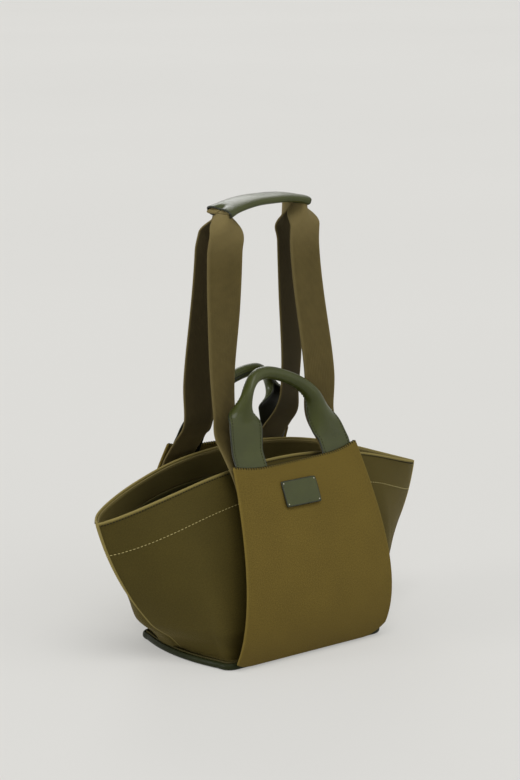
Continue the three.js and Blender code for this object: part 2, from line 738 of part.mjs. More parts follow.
// Magnetic snap: a socket inside the front hem and a stud inside the back hem
const hemDepth = SHELL_THICKNESS + SEAM_GAP + HEM_THICKNESS + SEAM_GAP;
const snapRise = 1 - SNAP_DROP / rib(0).getLength();
const snapNormal = normalAt(wallFace, 0.5, snapRise).negate();
const snapSeat = wallPoint(0, snapRise).addScaledVector(snapNormal, hemDepth);
const snapRadius = SNAP_DIAMETER / 2;
const studRadius = SNAP_STUD_DIAMETER / 2;

function snapDisc(profile) {
  const points = profile.map(([radius, height]) => new THREE.Vector2(radius, height));
  return new THREE.LatheGeometry(points, 18).rotateX(Math.PI / 2);
}

const socketProfile = [
  [0, 0],
  [snapRadius, 0],
  [snapRadius, SNAP_THICKNESS],
  [studRadius + SEAM_GAP, SNAP_THICKNESS],
  [studRadius + SEAM_GAP, SNAP_THICKNESS / 2],
  [0, SNAP_THICKNESS / 2],
];
const studProfile = [
  [0, 0],
  [snapRadius, 0],
  [snapRadius, SNAP_THICKNESS],
  [studRadius, SNAP_THICKNESS],
  [studRadius, SNAP_THICKNESS + SNAP_STUD_RISE],
  [0, SNAP_THICKNESS + SNAP_STUD_RISE],
];
layOn(addMesh("snap_socket", snapDisc(socketProfile), "metal"), snapSeat, snapNormal);
const backOf = (direction) => direction.clone().applyAxisAngle(vector(0, 0, 1), Math.PI);
layOn(addMesh("snap_stud", snapDisc(studProfile), "metal"), backOf(snapSeat), backOf(snapNormal));

// Zip pocket on the back lining: drawn on the front wall and turned with it
const zipHalf = ZIP_LENGTH / 2;
const zipHeight = MOUTH_HEIGHT - ZIP_DROP;
const onWall = (halfLength, low, high) => (u, v) =>
  wallAt((2 * u - 1) * halfLength, THREE.MathUtils.lerp(low, high, v));
const pocketBag = thickSheet(
  onWall(zipHalf + ZIP_TAPE_MARGIN, zipHeight - POCKET_BAG.depth, zipHeight + ZIP_TAPE_WIDTH / 2),
  8,
  8,
  POCKET_BAG.thickness,
  SHELL_THICKNESS + SEAM_GAP,
);
const tapeDepth = liningDepth + LINING_THICKNESS + SEAM_GAP;
const tape = thickSheet(
  onWall(zipHalf + ZIP_TAPE_MARGIN, zipHeight - ZIP_TAPE_WIDTH / 2, zipHeight + ZIP_TAPE_WIDTH / 2),
  8,
  2,
  ZIP_TAPE_THICKNESS,
  tapeDepth,
);
const chainDepth = tapeDepth + ZIP_TAPE_THICKNESS + SEAM_GAP;
const chain = thickSheet(
  onWall(zipHalf, zipHeight - ZIP_CHAIN_WIDTH / 2, zipHeight + ZIP_CHAIN_WIDTH / 2),
  8,
  1,
  ZIP_CHAIN_THICKNESS,
  chainDepth,
);
addMesh("inner_pocket_bag", turned(pocketBag), "lining");
addMesh("zip_tape", turned(tape), "webbing");
addMesh("zip_chain", turned(chain), "metal");

// The slider runs level along the chain, and its pull turns on an upright bail.
const zipSurface = onWall(zipHalf, zipHeight - ZIP_CHAIN_WIDTH / 2, zipHeight + ZIP_CHAIN_WIDTH / 2);
const zipNormal = normalAt(zipSurface, 0, 0.5).setX(0).normalize().negate();
const sliderSeat = zipSurface(0, 0.5)
  .addScaledVector(zipNormal, chainDepth + ZIP_CHAIN_THICKNESS + ZIP_SLIDER_CLEARANCE)
  .setX(-zipHalf + ZIP_SLIDER.length / 2);
const sliderShape = roundedRectangle(ZIP_SLIDER.length, ZIP_SLIDER.width, ZIP_SLIDER.corner);
const sliderPlate = new THREE.ExtrudeGeometry(sliderShape, {
  depth: ZIP_SLIDER.thickness,
  bevelEnabled: false,
  curveSegments: 4,
});
const bail = new THREE.BoxGeometry(ZIP_BAIL.length, ZIP_BAIL.width, ZIP_BAIL.rise);
bail.translate(0, 0, ZIP_SLIDER.thickness + ZIP_BAIL.rise / 2 - SEAM_GAP);
const eyeHeight = ZIP_SLIDER.thickness + ZIP_EYE.rise;
const eye = new THREE.CylinderGeometry(ZIP_EYE.radius, ZIP_EYE.radius, ZIP_SLIDER.width, 16);
eye.translate(0, 0, eyeHeight);
const slider = addMesh("zip_slider", cut(join(sliderPlate, bail), eye), "metal");
layOn(slider, backOf(sliderSeat), backOf(zipNormal));

// The pull is a flat tag whose end bar passes through the eye of the bail.
const pullEnd = ZIP_PULL.thickness / 2;
const windowReach = Math.hypot(ZIP_BAIL.length / 2, ZIP_EYE.rise) + SEAM_GAP;
const windowWidth = ZIP_BAIL.width + 2 * SEAM_GAP;
const pullShape = roundedRectangle(ZIP_PULL.length, ZIP_PULL.width, pullEnd);
const pullWindow = new THREE.Path();
const windowStart = 2 * pullEnd - ZIP_PULL.length / 2;
const windowEnd = windowStart - pullEnd + windowReach;
pullWindow.moveTo(windowStart, -windowWidth / 2);
pullWindow.lineTo(windowStart, windowWidth / 2);
pullWindow.lineTo(windowEnd, windowWidth / 2);
pullWindow.lineTo(windowEnd, -windowWidth / 2);
pullWindow.closePath();
pullShape.holes.push(pullWindow);
const pull = new THREE.ExtrudeGeometry(pullShape, {
  depth: ZIP_PULL.thickness,
  bevelEnabled: false,
  curveSegments: 3,
});
pull.translate(ZIP_PULL.length / 2 - pullEnd, 0, eyeHeight - pullEnd);
layOn(addMesh("zip_pull", pull, "metal"), backOf(sliderSeat), backOf(zipNormal));

export default bag;
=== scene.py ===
# %% [markdown]
# # A winged shopper bag
# The bag stands on a leather base. Two soft walls meet in wing tips, an open pocket panel lies over each
# wall, two rolled leather handles and a padded webbing strap carry it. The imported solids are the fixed
# frame of the scene, and each soft solid in it is replaced by a sewn piece of the same size and place.

# %% The frame
import math

import bpy
import numpy as np
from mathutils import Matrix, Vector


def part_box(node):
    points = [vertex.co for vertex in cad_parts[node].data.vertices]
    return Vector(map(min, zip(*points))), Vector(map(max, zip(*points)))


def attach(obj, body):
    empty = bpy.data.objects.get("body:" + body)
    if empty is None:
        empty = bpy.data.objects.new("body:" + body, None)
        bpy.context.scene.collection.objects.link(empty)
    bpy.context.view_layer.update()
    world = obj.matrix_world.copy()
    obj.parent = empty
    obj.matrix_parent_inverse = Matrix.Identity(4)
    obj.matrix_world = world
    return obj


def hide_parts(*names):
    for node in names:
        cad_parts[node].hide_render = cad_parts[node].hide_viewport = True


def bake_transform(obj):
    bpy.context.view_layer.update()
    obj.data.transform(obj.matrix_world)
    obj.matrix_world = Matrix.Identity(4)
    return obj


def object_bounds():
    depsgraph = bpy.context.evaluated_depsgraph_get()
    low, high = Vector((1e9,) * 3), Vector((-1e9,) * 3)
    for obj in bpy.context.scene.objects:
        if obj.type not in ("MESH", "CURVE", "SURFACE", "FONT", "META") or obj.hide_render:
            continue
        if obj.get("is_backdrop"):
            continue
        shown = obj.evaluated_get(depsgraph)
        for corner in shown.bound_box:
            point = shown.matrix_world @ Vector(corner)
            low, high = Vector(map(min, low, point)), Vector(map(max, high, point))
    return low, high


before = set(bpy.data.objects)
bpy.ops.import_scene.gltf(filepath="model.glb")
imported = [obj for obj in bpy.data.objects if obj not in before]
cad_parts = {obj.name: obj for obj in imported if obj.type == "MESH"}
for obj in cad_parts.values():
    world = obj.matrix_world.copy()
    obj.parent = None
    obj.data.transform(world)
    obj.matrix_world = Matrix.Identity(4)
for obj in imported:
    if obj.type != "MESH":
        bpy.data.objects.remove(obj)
solid_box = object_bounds()

# %% [markdown]
# The photograph is taken with a long lens from the front left and a little above. Broad suns act as soft
# boxes: they light the whole floor evenly, where a small lamp would leave the distance dark. The low one on
# the left picks out the end seam and the edges of the webbing, and the one behind draws the highlights on
# leather.

# %% Camera
IMAGE_HEIGHT = 780
FOCAL_PIXELS = 2403.07
CAMERA_PLACE = (-1.6264, -1.9926, 0.8269)
CAMERA_PITCH = 0.20967
CAMERA_TURN = 0.68390


def put(name, data):
    """Adds an object to the scene."""
    item = bpy.data.objects.new(name, data)
    bpy.context.collection.objects.link(item)
    return item


camera_data = bpy.data.cameras.new("camera")
camera_data.lens = FOCAL_PIXELS / IMAGE_HEIGHT * camera_data.sensor_width
camera_data.clip_end = 200
camera = put("camera", camera_data)
camera.location = CAMERA_PLACE
camera.rotation_euler = (math.pi / 2 - CAMERA_PITCH, 0, -CAMERA_TURN)
bpy.context.scene.camera = camera
print("lens", round(camera_data.lens, 1), "mm")

# %% Lamps
SUNS = {  # strength, spread, height and turn in degrees
    "key_light": (1.38, 36, 60, -24),
    "right_light": (0.75, 70, 22, 24),
    "left_light": (1.7, 24, 6, -104),
    "back_light": (0.5, 26, 27, 148),
}
bpy.context.scene.view_settings.view_transform = "Standard"
for name, (strength, width, height, turn) in SUNS.items():
    lamp = bpy.data.lights.new(name, "SUN")
    lamp.energy = strength
    lamp.angle = math.radians(width)
    put(name, lamp).rotation_euler = (math.radians(90 - height), 0, math.radians(turn))
print("suns:", len(SUNS))

# %% [markdown]
# ## Materials
# Every finish is a small tree of nodes. Three helpers keep the trees readable. A Wire is one output of a
# node, and adding or multiplying wires adds the Math nodes. A Tree makes any other node from its type, its
# settings and what its sockets take. A Finish is the tree of one material.

# %% Wires, trees and finishes


def linear(code):
    values = [int(code[i:i + 2], 16) / 255 for i in (1, 3, 5)]
    return tuple(v / 12.92 if v <= 0.04045 else ((v + 0.055) / 1.055) ** 2.4 for v in values) + (1.0,)


class Wire:
    def __init__(self, tree, socket):
        self.tree = tree
        self.socket = socket

    def beside(self, output):
        """Another output of the same node."""
        return Wire(self.tree, self.socket.node.outputs[output])

    def maths(self, operation, *values):
        return self.tree.node("ShaderNodeMath", {"operation": operation}, dict(enumerate(values)))

    def __add__(self, other):
        return self.maths("ADD", self, other)

    def __radd__(self, other):
        return self.maths("ADD", other, self)

    def __sub__(self, other):
        return self.maths("SUBTRACT", self, other)

    def __rsub__(self, other):
        return self.maths("SUBTRACT", other, self)

    def __mul__(self, other):
        return self.maths("MULTIPLY", self, other)

    def __rmul__(self, other):
        return self.maths("MULTIPLY", other, self)

    def wave(self, pitch):
        """A sine from 0 to 1 that repeats at the pitch."""
        return self.sine(pitch) * 0.5 + 0.5

    def sine(self, pitch):
        return self.maths("SINE", self * (2 * math.pi / pitch))


class Tree:
    def __init__(self, graph):
        self.graph = graph

    def node(self, kind, settings=(), sockets=(), output=0):
        node = self.graph.nodes.new(kind)
        for name, value in dict(settings).items():
            setattr(node, name, value)
        for name, value in dict(sockets).items():
            self.join(node.inputs[name], value)
        return Wire(self, node.outputs[output])

    def join(self, socket, value):
        """Links a wire to a socket or sets it to a value; a colour is given by its code."""
        if isinstance(value, Wire):
            self.graph.links.new(value.socket, socket)
        else:
            socket.default_value = linear(value) if isinstance(value, str) else value

    def seen(self):
        """1 for rays from the camera and for those that it sees by way of glossy or clear surfaces."""
        rays = seen = self.node("ShaderNodeLightPath", output="Is Camera Ray")
        for label in ("Is Glossy Ray", "Is Transmission Ray"):
            seen = seen.maths("MAXIMUM", seen, rays.beside(label))
        return seen


class Finish(Tree):
    def __init__(self, name, **shader):
        self.material = bpy.data.materials.new(name)
        self.material.use_nodes = True
        super().__init__(self.material.node_tree)
        self.shader = self.graph.nodes["Principled BSDF"]
        for socket, value in shader.items():
            self.feed(socket.replace("_", " "), value)

    def feed(self, socket, value):
        self.join(self.shader.inputs[socket], value)

    def mix(self, share, first, second):
        return self.node("ShaderNodeMix", {"data_type": "RGBA"}, {0: share, 6: first, 7: second}, 2)

    def place(self):
        return self.node("ShaderNodeTexCoord", output="Object")

    def cloth(self):
        plan = self.node("ShaderNodeUVMap", {"uv_map": "cut"})
        across = self.node("ShaderNodeSeparateXYZ", {}, {0: plan})
        return plan, across, across.beside(1)

    def noise(self, where, scale, detail=3.0):
        return self.node("ShaderNodeTexNoise", {}, {"Vector": where, "Scale": scale, "Detail": detail})

    def attribute(self, name):
        return self.node("ShaderNodeAttribute", {"attribute_name": name}, output="Fac")

    def ramp(self, value, low, high):
        return self.node(
            "ShaderNodeMapRange", {"interpolation_type": "SMOOTHSTEP"},
            {"Value": value, "From Min": low, "From Max": high},
        )

    def relief(self, height, depth):
        bump = self.node("ShaderNodeBump", {}, {"Strength": 1.0, "Distance": depth, "Height": height})
        self.feed("Normal", bump)


# %% [markdown]
# The floor is one large pale sheet, so that it fills the picture up to its top edge. The world gives an even
# grey light. Where the camera looks past the floor it sees the pale tone of the backdrop instead, and so do
# rays that leather and metal mirror. To those rays the floor shows half of its tone as it is, whatever falls
# on it, so that the shadows stay as faint as in the photograph.

# %% Floor and world
BACKDROP = "#dcdcd8"
BLACK = "#000000"
FLOOR_GLOW, FLOOR_LIGHT = 0.5, 0.958
FLOOR_REACH, FLOOR_DEPTH = 60, -0.0004
WORLD_LIGHT = 0.36

floor_finish = Finish("floor_paper", Roughness=1.0, Specular_IOR_Level=0.0)
floor_cloud = floor_finish.noise(floor_finish.place(), 0.6)
floor_tone = floor_finish.mix(floor_cloud, "#dfdeda", "#e3e2de")
floor_glow = FLOOR_GLOW * floor_finish.seen()
floor_finish.feed("Base Color", floor_finish.mix(floor_glow, floor_tone, BLACK))
floor_finish.feed("Emission Color", floor_finish.mix(floor_glow, BLACK, floor_tone))
floor_finish.feed("Emission Strength", FLOOR_LIGHT)

corners = [(-1, -1), (1, -1), (1, 1), (-1, 1)]
floor_mesh = bpy.data.meshes.new("floor")
floor_mesh.from_pydata(
    [(x * FLOOR_REACH, y * FLOOR_REACH, FLOOR_DEPTH) for x, y in corners], [], [(0, 1, 2, 3)],
)
floor_mesh.materials.append(floor_finish.material)
floor = put("floor", floor_mesh)
floor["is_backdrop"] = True

world = bpy.data.worlds.new("studio")
bpy.context.scene.world = world
world.use_nodes = True
sky = Tree(world.node_tree)
surround = sky.graph.nodes["Background"]
surround.inputs["Color"].default_value = (1, 1, 1, 1)
surround.inputs["Strength"].default_value = WORLD_LIGHT
backdrop = sky.node("ShaderNodeBackground", {}, {"Color": BACKDROP})
choice = sky.node("ShaderNodeMixShader", {}, {0: sky.seen(), 1: Wire(sky, surround.outputs[0]), 2: backdrop})
sky.join(sky.graph.nodes["World Output"].inputs["Surface"], choice)
print("floor and world ready")

# %% [markdown]
# The pocket panels are a soft foam-backed jersey with a brushed face. Up close the face is a fine knit; from
# a step away it shows faint cloudy shading where the pile lies differently. The walls are a smoother nylon
# twill with a satin sheen; their turned edges are rubbed pale by wear and painted paler still as a painted
# highlight. The lining is a plainer twill, and the facing inside the mouth, which catches the light, is the
# same twill painted lighter as painted light.

# %% Cloth finishes


def woven(name, tone, shade, rubbed_and_lit_tone, rub_and_highlight, pitch, depth, **shader):
    finish = Finish(name, **shader)
    plan, across, along = finish.cloth()
    weave = across.sine(pitch) * along.sine(pitch) * 0.5 + 0.5
    pile = finish.noise(plan, 22, 5.0)
    fibre = finish.noise(plan, 700, 2.0)
    mottle = finish.ramp(pile * 0.25 + fibre * 0.75, 0.25, 0.75)
    face = finish.mix(mottle, shade, tone)
    # The edge mix is rubbed wear and a painted highlight on the rolled edge.
    finish.feed("Base Color", finish.mix(finish.attribute("edge") * rub_and_highlight, face, rubbed_and_lit_tone))
    finish.relief(weave * 0.6 + fibre * 0.7, depth)
    return finish


SHEEN_TINT = "#b7a66c"
panel_cloth = woven(
    "brushed_jersey", "#6e5d28", "#5c4d21", "#6f602c", 0.3, 0.0011, 0.0003, Roughness=0.85,
    Sheen_Weight=0.06, Sheen_Roughness=0.45, Specular_IOR_Level=0.1, Sheen_Tint=SHEEN_TINT,
)
# The walls' pale edge tone, mixed in strongly, paints a highlight along the mouth and the end seams.
wall_cloth = woven(
    "satin_twill", "#4e441d", "#3f3717", "#93854f", 0.7, 0.0009, 0.0002, Roughness=0.7,
    Sheen_Weight=0.25, Sheen_Roughness=0.3, Specular_IOR_Level=0.08, Sheen_Tint=SHEEN_TINT,
)
lining_cloth = woven(
    "lining_twill", "#453f21", "#3a351c", "#5f5731", 0.35, 0.0008, 0.0001, Roughness=0.7,
    Specular_IOR_Level=0.1,
)
# painted light: a lighter copy of the wall twill for the facing inside the mouth
lit_facing_cloth = woven(
    "facing_twill", "#6d6236", "#5d532d", "#80734a", 0.5, 0.0009, 0.0002, Roughness=0.7,
    Specular_IOR_Level=0.1,
)
print("cloth:", [f.material.name for f in (panel_cloth, wall_cloth, lining_cloth, lit_facing_cloth)])

# %% [markdown]
# The webbing is a heavy ribbed band. Ribs run across it, fine warp threads run along it, and the two woven
# borders are a little lighter, because there the weft turns round and the pile rubs off. Above the mouth its
# reverse is painted dark as painted shade, and towards the pad the band is painted paler as a painted
# highlight from the light above.

# %% Webbing finish
RIB_PITCH, WARP_PITCH = 0.0012, 0.0022
LIT_TOP_HEIGHTS, SHADED_REVERSE_HEIGHTS = (0.42, 0.49), (0.225, 0.255)

webbing = Finish(
    "ribbed_webbing", Roughness=0.82, Sheen_Weight=0.1, Sheen_Roughness=0.5, Specular_IOR_Level=0.18,
    Sheen_Tint="#b9a877",
)
web_plan, web_across, web_along = webbing.cloth()
rib, warp = web_along.wave(RIB_PITCH), web_across.wave(WARP_PITCH)
fuzz = webbing.noise(web_plan, 1500, 2.0)
streak = webbing.noise(web_plan, 60)
web_shade = webbing.ramp(rib * 0.4 + streak * 0.3 + fuzz * 0.5, 0.2, 1.0)
web_face = webbing.mix(web_shade, "#40361a", "#675a31")
web_height = webbing.node("ShaderNodeSeparateXYZ", {}, {0: webbing.place()}, 2)
# painted highlight: towards the pad the band is mixed towards a pale tone, where light from above falls
web_lit_top = webbing.mix(webbing.ramp(web_height, *LIT_TOP_HEIGHTS) * 0.45, web_face, "#9a8a5c")
# painted shade: above the mouth the reverse is mixed towards near black, where it faces down and away
web_shaded_reverse = webbing.attribute("reverse") * webbing.ramp(web_height, *SHADED_REVERSE_HEIGHTS)
web_lit_and_shaded = webbing.mix(web_shaded_reverse * 0.65, web_lit_top, "#261f0f")
webbing.feed("Base Color", webbing.mix(webbing.attribute("edge") * 0.45, web_lit_and_shaded, "#776a42"))
webbing.relief(rib * (warp * 0.4 + 0.6) + fuzz * 0.3, 0.00035)
print("webbing ribs every", RIB_PITCH * 1000, "mm")

# %% [markdown]
# The leather is a smooth grey-green hide. Its grain is a net of tiny cells, slow noise clouds the colour,
# the cut edges are painted darker, the reverse is painted near black, and a thin wax coat gives the long
# soft highlights. The base is a darker hide without the coat.

# %% Leather finish
GRAIN_SCALE = 900.0


def hide(name, tone, shade, edge_tone, **shader):
    finish = Finish(name, **shader)
    where = finish.place()
    cells = finish.node(
        "ShaderNodeTexVoronoi", {"feature": "DISTANCE_TO_EDGE"}, {"Vector": where, "Scale": GRAIN_SCALE},
    )
    grain = finish.ramp(cells, 0.0, 0.12)
    cloud = finish.noise(where, 32, 4.0)
    pores = finish.noise(where, 1400, 2.0)
    face = finish.mix(finish.ramp(cloud * 0.8 + pores * 0.2, 0.3, 0.7), shade, tone)
    sides = finish.mix(finish.attribute("reverse") * 0.9, face, "#12120c")
    finish.feed("Base Color", finish.mix(finish.attribute("edge") * 0.8, sides, edge_tone))
    finish.feed("Roughness", finish.ramp(cloud, 0.2, 0.8) * 0.1 + 0.26)
    finish.relief(grain * 0.7 + pores * 0.5, 0.00006)
    return finish


leather = hide(
    "green_leather", "#3f441d", "#363b18", "#20231a",
    Coat_Weight=0.16, Coat_Roughness=0.16, Specular_IOR_Level=0.17,
)
base_leather = hide("base_leather", "#262a15", "#1f2211", "#1b1d10", Specular_IOR_Level=0.07)
print("leather:", leather.material.name, base_leather.material.name)

# %% [markdown]
# Small parts share the remaining finishes: waxed thread in three tones, brushed metal for the snap, the zip
# and the pins of the label plate, and grey board inside the base.

# %% Thread, metal and board
BRUSH_SCALE = (60, 900, 900)


def twisted(name, tone, shade):
    finish = Finish(name, Roughness=0.7, Specular_IOR_Level=0.12)
    strand = finish.noise(finish.place(), 1800, 2.0)
    finish.feed("Base Color", finish.mix(finish.ramp(strand, 0.3, 0.7), shade, tone))
    finish.relief(strand, 0.0001)
    return finish


pale_thread = twisted("pale_thread", "#a89c68", "#93875a")
dull_thread = twisted("dull_thread", "#75693c", "#655a33")
dark_thread = twisted("dark_thread", "#2a2714", "#201d0d")

metal = Finish("brushed_nickel", Metallic=1.0)
brushed = metal.node("ShaderNodeMapping", {}, {"Vector": metal.place(), "Scale": BRUSH_SCALE})
brush = metal.noise(brushed, 3.0)
metal.feed("Base Color", metal.mix(brush, "#a9a597", "#cbc7ba"))
metal.feed("Roughness", brush * 0.2 + 0.22)
metal.relief(brush, 0.00003)

board = Finish("grey_board", Roughness=0.9)
pulp = board.noise(board.place(), 300, 4.0)
board.feed("Base Color", board.mix(pulp, "#7d735f", "#968b75"))
board.relief(pulp, 0.0002)
print("materials:", len(bpy.data.materials))

# %% [markdown]
# ## Making sheets
# Nearly all of the bag is cut from sheets: cloth, leather or webbing. Each is given as a grid of points on
# its outer face, in millimetres. The shell function adds an inner face one thickness behind it and rolls the
# edge round in a half circle, so that light catches it as it does on a turned hem. It also stores a cutting
# plan as the UV map, in metres, an attribute that is 1 along the edge, for edge paint, wear and a painted
# highlight on cloth rims, and one that is 1 on the reverse.

# %% Sheet helpers
MM = 0.001
RIM_ANGLES = 45, 90, 135


def unit(vectors):
    return vectors / np.maximum(np.linalg.norm(vectors, axis=-1, keepdims=True), 1e-12)


def normals_of(grid):
    return unit(np.cross(np.gradient(grid, axis=1), np.gradient(grid, axis=0)))


def running(points, axis):
    """The length along a grid or a line, from its start."""
    steps = np.linalg.norm(np.diff(points, axis=axis), axis=-1)
    start = np.zeros_like(np.take(steps, [0], axis=axis))
    return np.concatenate([start, np.cumsum(steps, axis=axis)], axis=axis)


def smoothstep(value, low, high):
    share = np.clip((value - low) / (high - low), 0, 1)
    return share * share * (3 - 2 * share)


def cells_of(index):
    """The quads between the points of a grid."""
    return np.stack([index[:-1, :-1], index[:-1, 1:], index[1:, 1:], index[1:, :-1]], -1).reshape(-1, 4)


def turned(grid):
    return grid * np.array([-1, -1, 1])


def mirrored(grid):
    return (grid * np.array([-1, 1, 1]))[:, ::-1]


def facing(grid, side):
    return grid if side == "front" else turned(grid)


def mesh_of(name, points, edges=(), faces=()):
    mesh = bpy.data.meshes.new(name)
    mesh.from_pydata((np.asarray(points, float) * MM).tolist(), edges, faces)
    return mesh


def add_piece(name, points, faces, finish, plan):
    mesh = mesh_of(name, points, faces=[tuple(map(int, f)) for f in faces])
    mesh.polygons.foreach_set("use_smooth", [True] * len(mesh.polygons))
    corner = np.zeros(len(mesh.loops), int)
    mesh.loops.foreach_get("vertex_index", corner)
    layer = mesh.uv_layers.new(name="cut")
    layer.data.foreach_set("uv", (np.asarray(plan) * MM)[corner].ravel())
    mesh.materials.append(finish.material)
    mesh.update()
    return put(name, mesh)


def shell(name, grid, thickness, finish, border=0):
    """A sheet of the given thickness; border is the width of its lighter borders, in millimetres."""
    index = np.arange(grid[..., 0].size).reshape(grid.shape[:2])
    ring = np.concatenate([index[0, :-1], index[:-1, -1], index[-1, :0:-1], index[:0:-1, 0]])
    flat, normal = grid.reshape(-1, 3), normals_of(grid).reshape(-1, 3)
    plan = np.stack([running(grid, 1), running(grid, 0)], -1)
    edge = np.zeros(index.shape)
    edge[[0, -1], :] = 1
    edge[:, [0, -1]] = 1
    if border:
        near = np.minimum(plan[..., 0], plan[..., 0].max() - plan[..., 0])
        edge = np.maximum(edge, np.clip(1 - near / border, 0, 1))
    plan = plan.reshape(-1, 2)
    middle = flat[ring] - normal[ring] * thickness / 2
    ahead = np.roll(flat[ring], -1, 0) - np.roll(flat[ring], 1, 0)
    outward = unit(np.cross(unit(ahead), normal[ring]))
    points, plans, loops = [flat, flat - normal * thickness], [plan, plan], [ring]
    for turn in np.radians(RIM_ANGLES):
        loops.append(sum(map(len, points)) + np.arange(len(ring)))
        points.append(middle + (normal[ring] * math.cos(turn) + outward * math.sin(turn)) * thickness / 2)
        plans.append(plan[ring])
    loops.append(ring + len(flat))
    quads = cells_of(index)
    faces = [quads, quads[:, ::-1] + len(flat)]
    faces += [np.stack([np.roll(a, -1), a, b, np.roll(b, -1)], -1) for a, b in zip(loops, loops[1:])]
    piece = add_piece(name, np.concatenate(points), np.concatenate(faces), finish, np.concatenate(plans))
    rim = np.ones(len(RIM_ANGLES) * len(ring))
    marks = {
        "edge": np.concatenate([edge.ravel(), edge.ravel(), rim]),
        "reverse": np.concatenate([np.repeat([0.0, 1.0], len(flat)), rim / 2]),
    }
    for label, values in marks.items():
        piece.data.attributes.new(label, "FLOAT", "POINT").data.foreach_set("value", values)
    return piece


def dress(piece, body=None, replaced=()):
    """Tells the frame the body that a piece rides on and hides the solids that it replaces."""
    if body:
        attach(piece, body)
    if replaced:
        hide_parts(*replaced)


def add_sheet(name, grid, thickness, finish, replaced, carrier):
    """A sheet on the bag that takes the place of one solid."""
    piece = shell(name, grid, thickness, finish)
    dress(piece, "bag", [replaced])


# %% Lines
STEPS, KNOT_STEPS = 240, 60


def bezier(*points):
    t = np.linspace(0, 1, STEPS)[:, None]
    last = len(points) - 1
    shares = [math.comb(last, k) * (1 - t) ** (last - k) * t ** k for k in range(last + 1)]
    return sum(share * np.array(point, float) for share, point in zip(shares, points))


def at_share(line, share):
    run = running(line, 0)
    return np.stack([np.interp(share, run / run[-1], line[:, k]) for k in range(line.shape[1])], -1)


def through(points):
    """A smooth line through points, with knots spaced by the square root of their distance."""
    points = np.array(points, float)
    points = np.concatenate([[2 * points[0] - points[1]], points, [2 * points[-1] - points[-2]]])
    pieces = []
    for a, b, c, d in zip(points, points[1:], points[2:], points[3:]):
        knots = np.cumsum([0] + [np.linalg.norm(q - p) ** 0.5 for p, q in ((a, b), (b, c), (c, d))])
        t = np.linspace(knots[1], knots[2], KNOT_STEPS)[:, None]

        def between(p, q, first, last):
            low, high = knots[first], knots[last]
            return p * (high - t) / (high - low) + q * (t - low) / (high - low)

        ab, bc, cd = between(a, b, 0, 1), between(b, c, 1, 2), between(c, d, 2, 3)
        abc, bcd = between(ab, bc, 0, 2), between(bc, cd, 1, 3)
        pieces.append(between(abc, bcd, 1, 2)[:-1])
    return np.concatenate([*pieces, points[-2:-1]])


print("helpers for sheets and lines ready")

# %% [markdown]
# ## Base
# The base is a shallow leather pan with a rolled rim. Rings of its outline, at several heights and insets,
# are joined into one closed skin. A stiff board and a cloth floor lie in it.

# %% Base pan
BASE_LENGTH, BASE_DEPTH = 244, 160
BASE_END_BOW, BASE_CORNER = 10, 16
RING_POINTS = 220


def front_corner(inset):
    """The outline from the middle of the front to the end of its right corner."""
    depth, radius = BASE_DEPTH / 2 - inset, max(BASE_CORNER - inset, 1)
    corner = BASE_LENGTH / 2 - inset - BASE_END_BOW
    flat, turn = (corner - radius, -depth), (corner, radius - depth)
    return np.concatenate([bezier((0, -depth), flat), bezier(flat, (corner, -depth), turn)[1:]])


def base_outline(inset):
    start = front_corner(inset)
    x, y = start[-1]
    bow = bezier((x, y), (x + 2 * BASE_END_BOW, 0), (x, -y))
    half = np.concatenate([start, bow[1:], (start * np.array([1, -1]))[-2::-1]])
    return np.concatenate([half, -half[1:-1]])


def ringed(name, profile, finish):
    """A closed skin over rings of the base outline; the first and the last ring are closed by a fan."""
    share = np.arange(RING_POINTS) / RING_POINTS
    loops = []
    for inset, height in profile:
        outline = base_outline(inset)
        around = at_share(np.concatenate([outline, outline[:1]]), share)
        loops.append(np.column_stack([around, np.full(RING_POINTS, height)]))
    points = np.concatenate([*loops, [[0, 0, profile[0][1]], [0, 0, profile[-1][1]]]])
    index = np.arange(len(profile) * RING_POINTS).reshape(len(profile), RING_POINTS)
    ahead = np.roll(index, -1, 1)
    faces = np.stack([index[:-1], ahead[:-1], ahead[1:], index[1:]], -1).reshape(-1, 4).tolist()
    low, high = len(points) - 2, len(points) - 1
    faces += [(low, b, a) for a, b in zip(index[0], ahead[0])]
    faces += [(high, a, b) for a, b in zip(index[-1], ahead[-1])]
    return add_piece(name, points, faces, finish, plan=points[:, :2])


def repaint(node, finish):
    """Gives a solid that stays in view one of the finishes."""
    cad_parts[node].data.materials.clear()
    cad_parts[node].data.materials.append(finish.material)


PAN_PROFILE = [  # inset and height of each ring
    (14, 0), (2.2, 0), (0.8, 0.5), (-0.3, 1.8), (-0.7, 3.6), (-0.5, 5.4), (0.2, 7.0), (1.2, 7.8),
    (2.2, 7.5), (2.8, 6.6), (2.8, 4.6), (2.8, 3.8), (3.4, 2.7), (6, 2.5), (14, 2.5),
]
TRAY_PROFILE = [
    (16, 5.7), (5, 5.7), (3.6, 6.2), (3.1, 7.2), (3.1, 8.6), (3.6, 9), (4.2, 8.7), (4.3, 7.8), (5, 7),
    (6.4, 6.9), (16, 6.9),
]
pan = ringed("leather_base", PAN_PROFILE, base_leather)
dress(pan, "bag", ["base_pan"])
repaint("base_board", board)
floor_cloth = ringed("floor_cloth", TRAY_PROFILE, lining_cloth)
dress(floor_cloth, "bag", ["floor_lining"])
print("base skin:", len(pan.data.polygons), "faces")

# %% [markdown]
# ## Walls
# A wall is lofted over curved ribs from the rim of the base up to the mouth. At the end seams the ribs swing
# out to the wing tips, and in the middle they swell forward. Four things are added that cloth does by
# itself: the foot tucks in behind the leather rim, the right wing sags fuller than the left, the back bulges
# at the left end of its foot, and at the tips the mouth turns round in a blunt bow instead of a sharp fold,
# wider at the back than at the front.

# %% Ribs of the wall
SHELL, SEAM = 3.0, 0.3
MOUTH_LENGTH, MOUTH_DEPTH, MOUTH_HEIGHT = 452, 74, 212
TIP_HEIGHT, WALL_FOOT = 165, 12.3
FRONT_SWELL, END_SWELL, END_DROP = 34, 24, 17
RIBS = 181

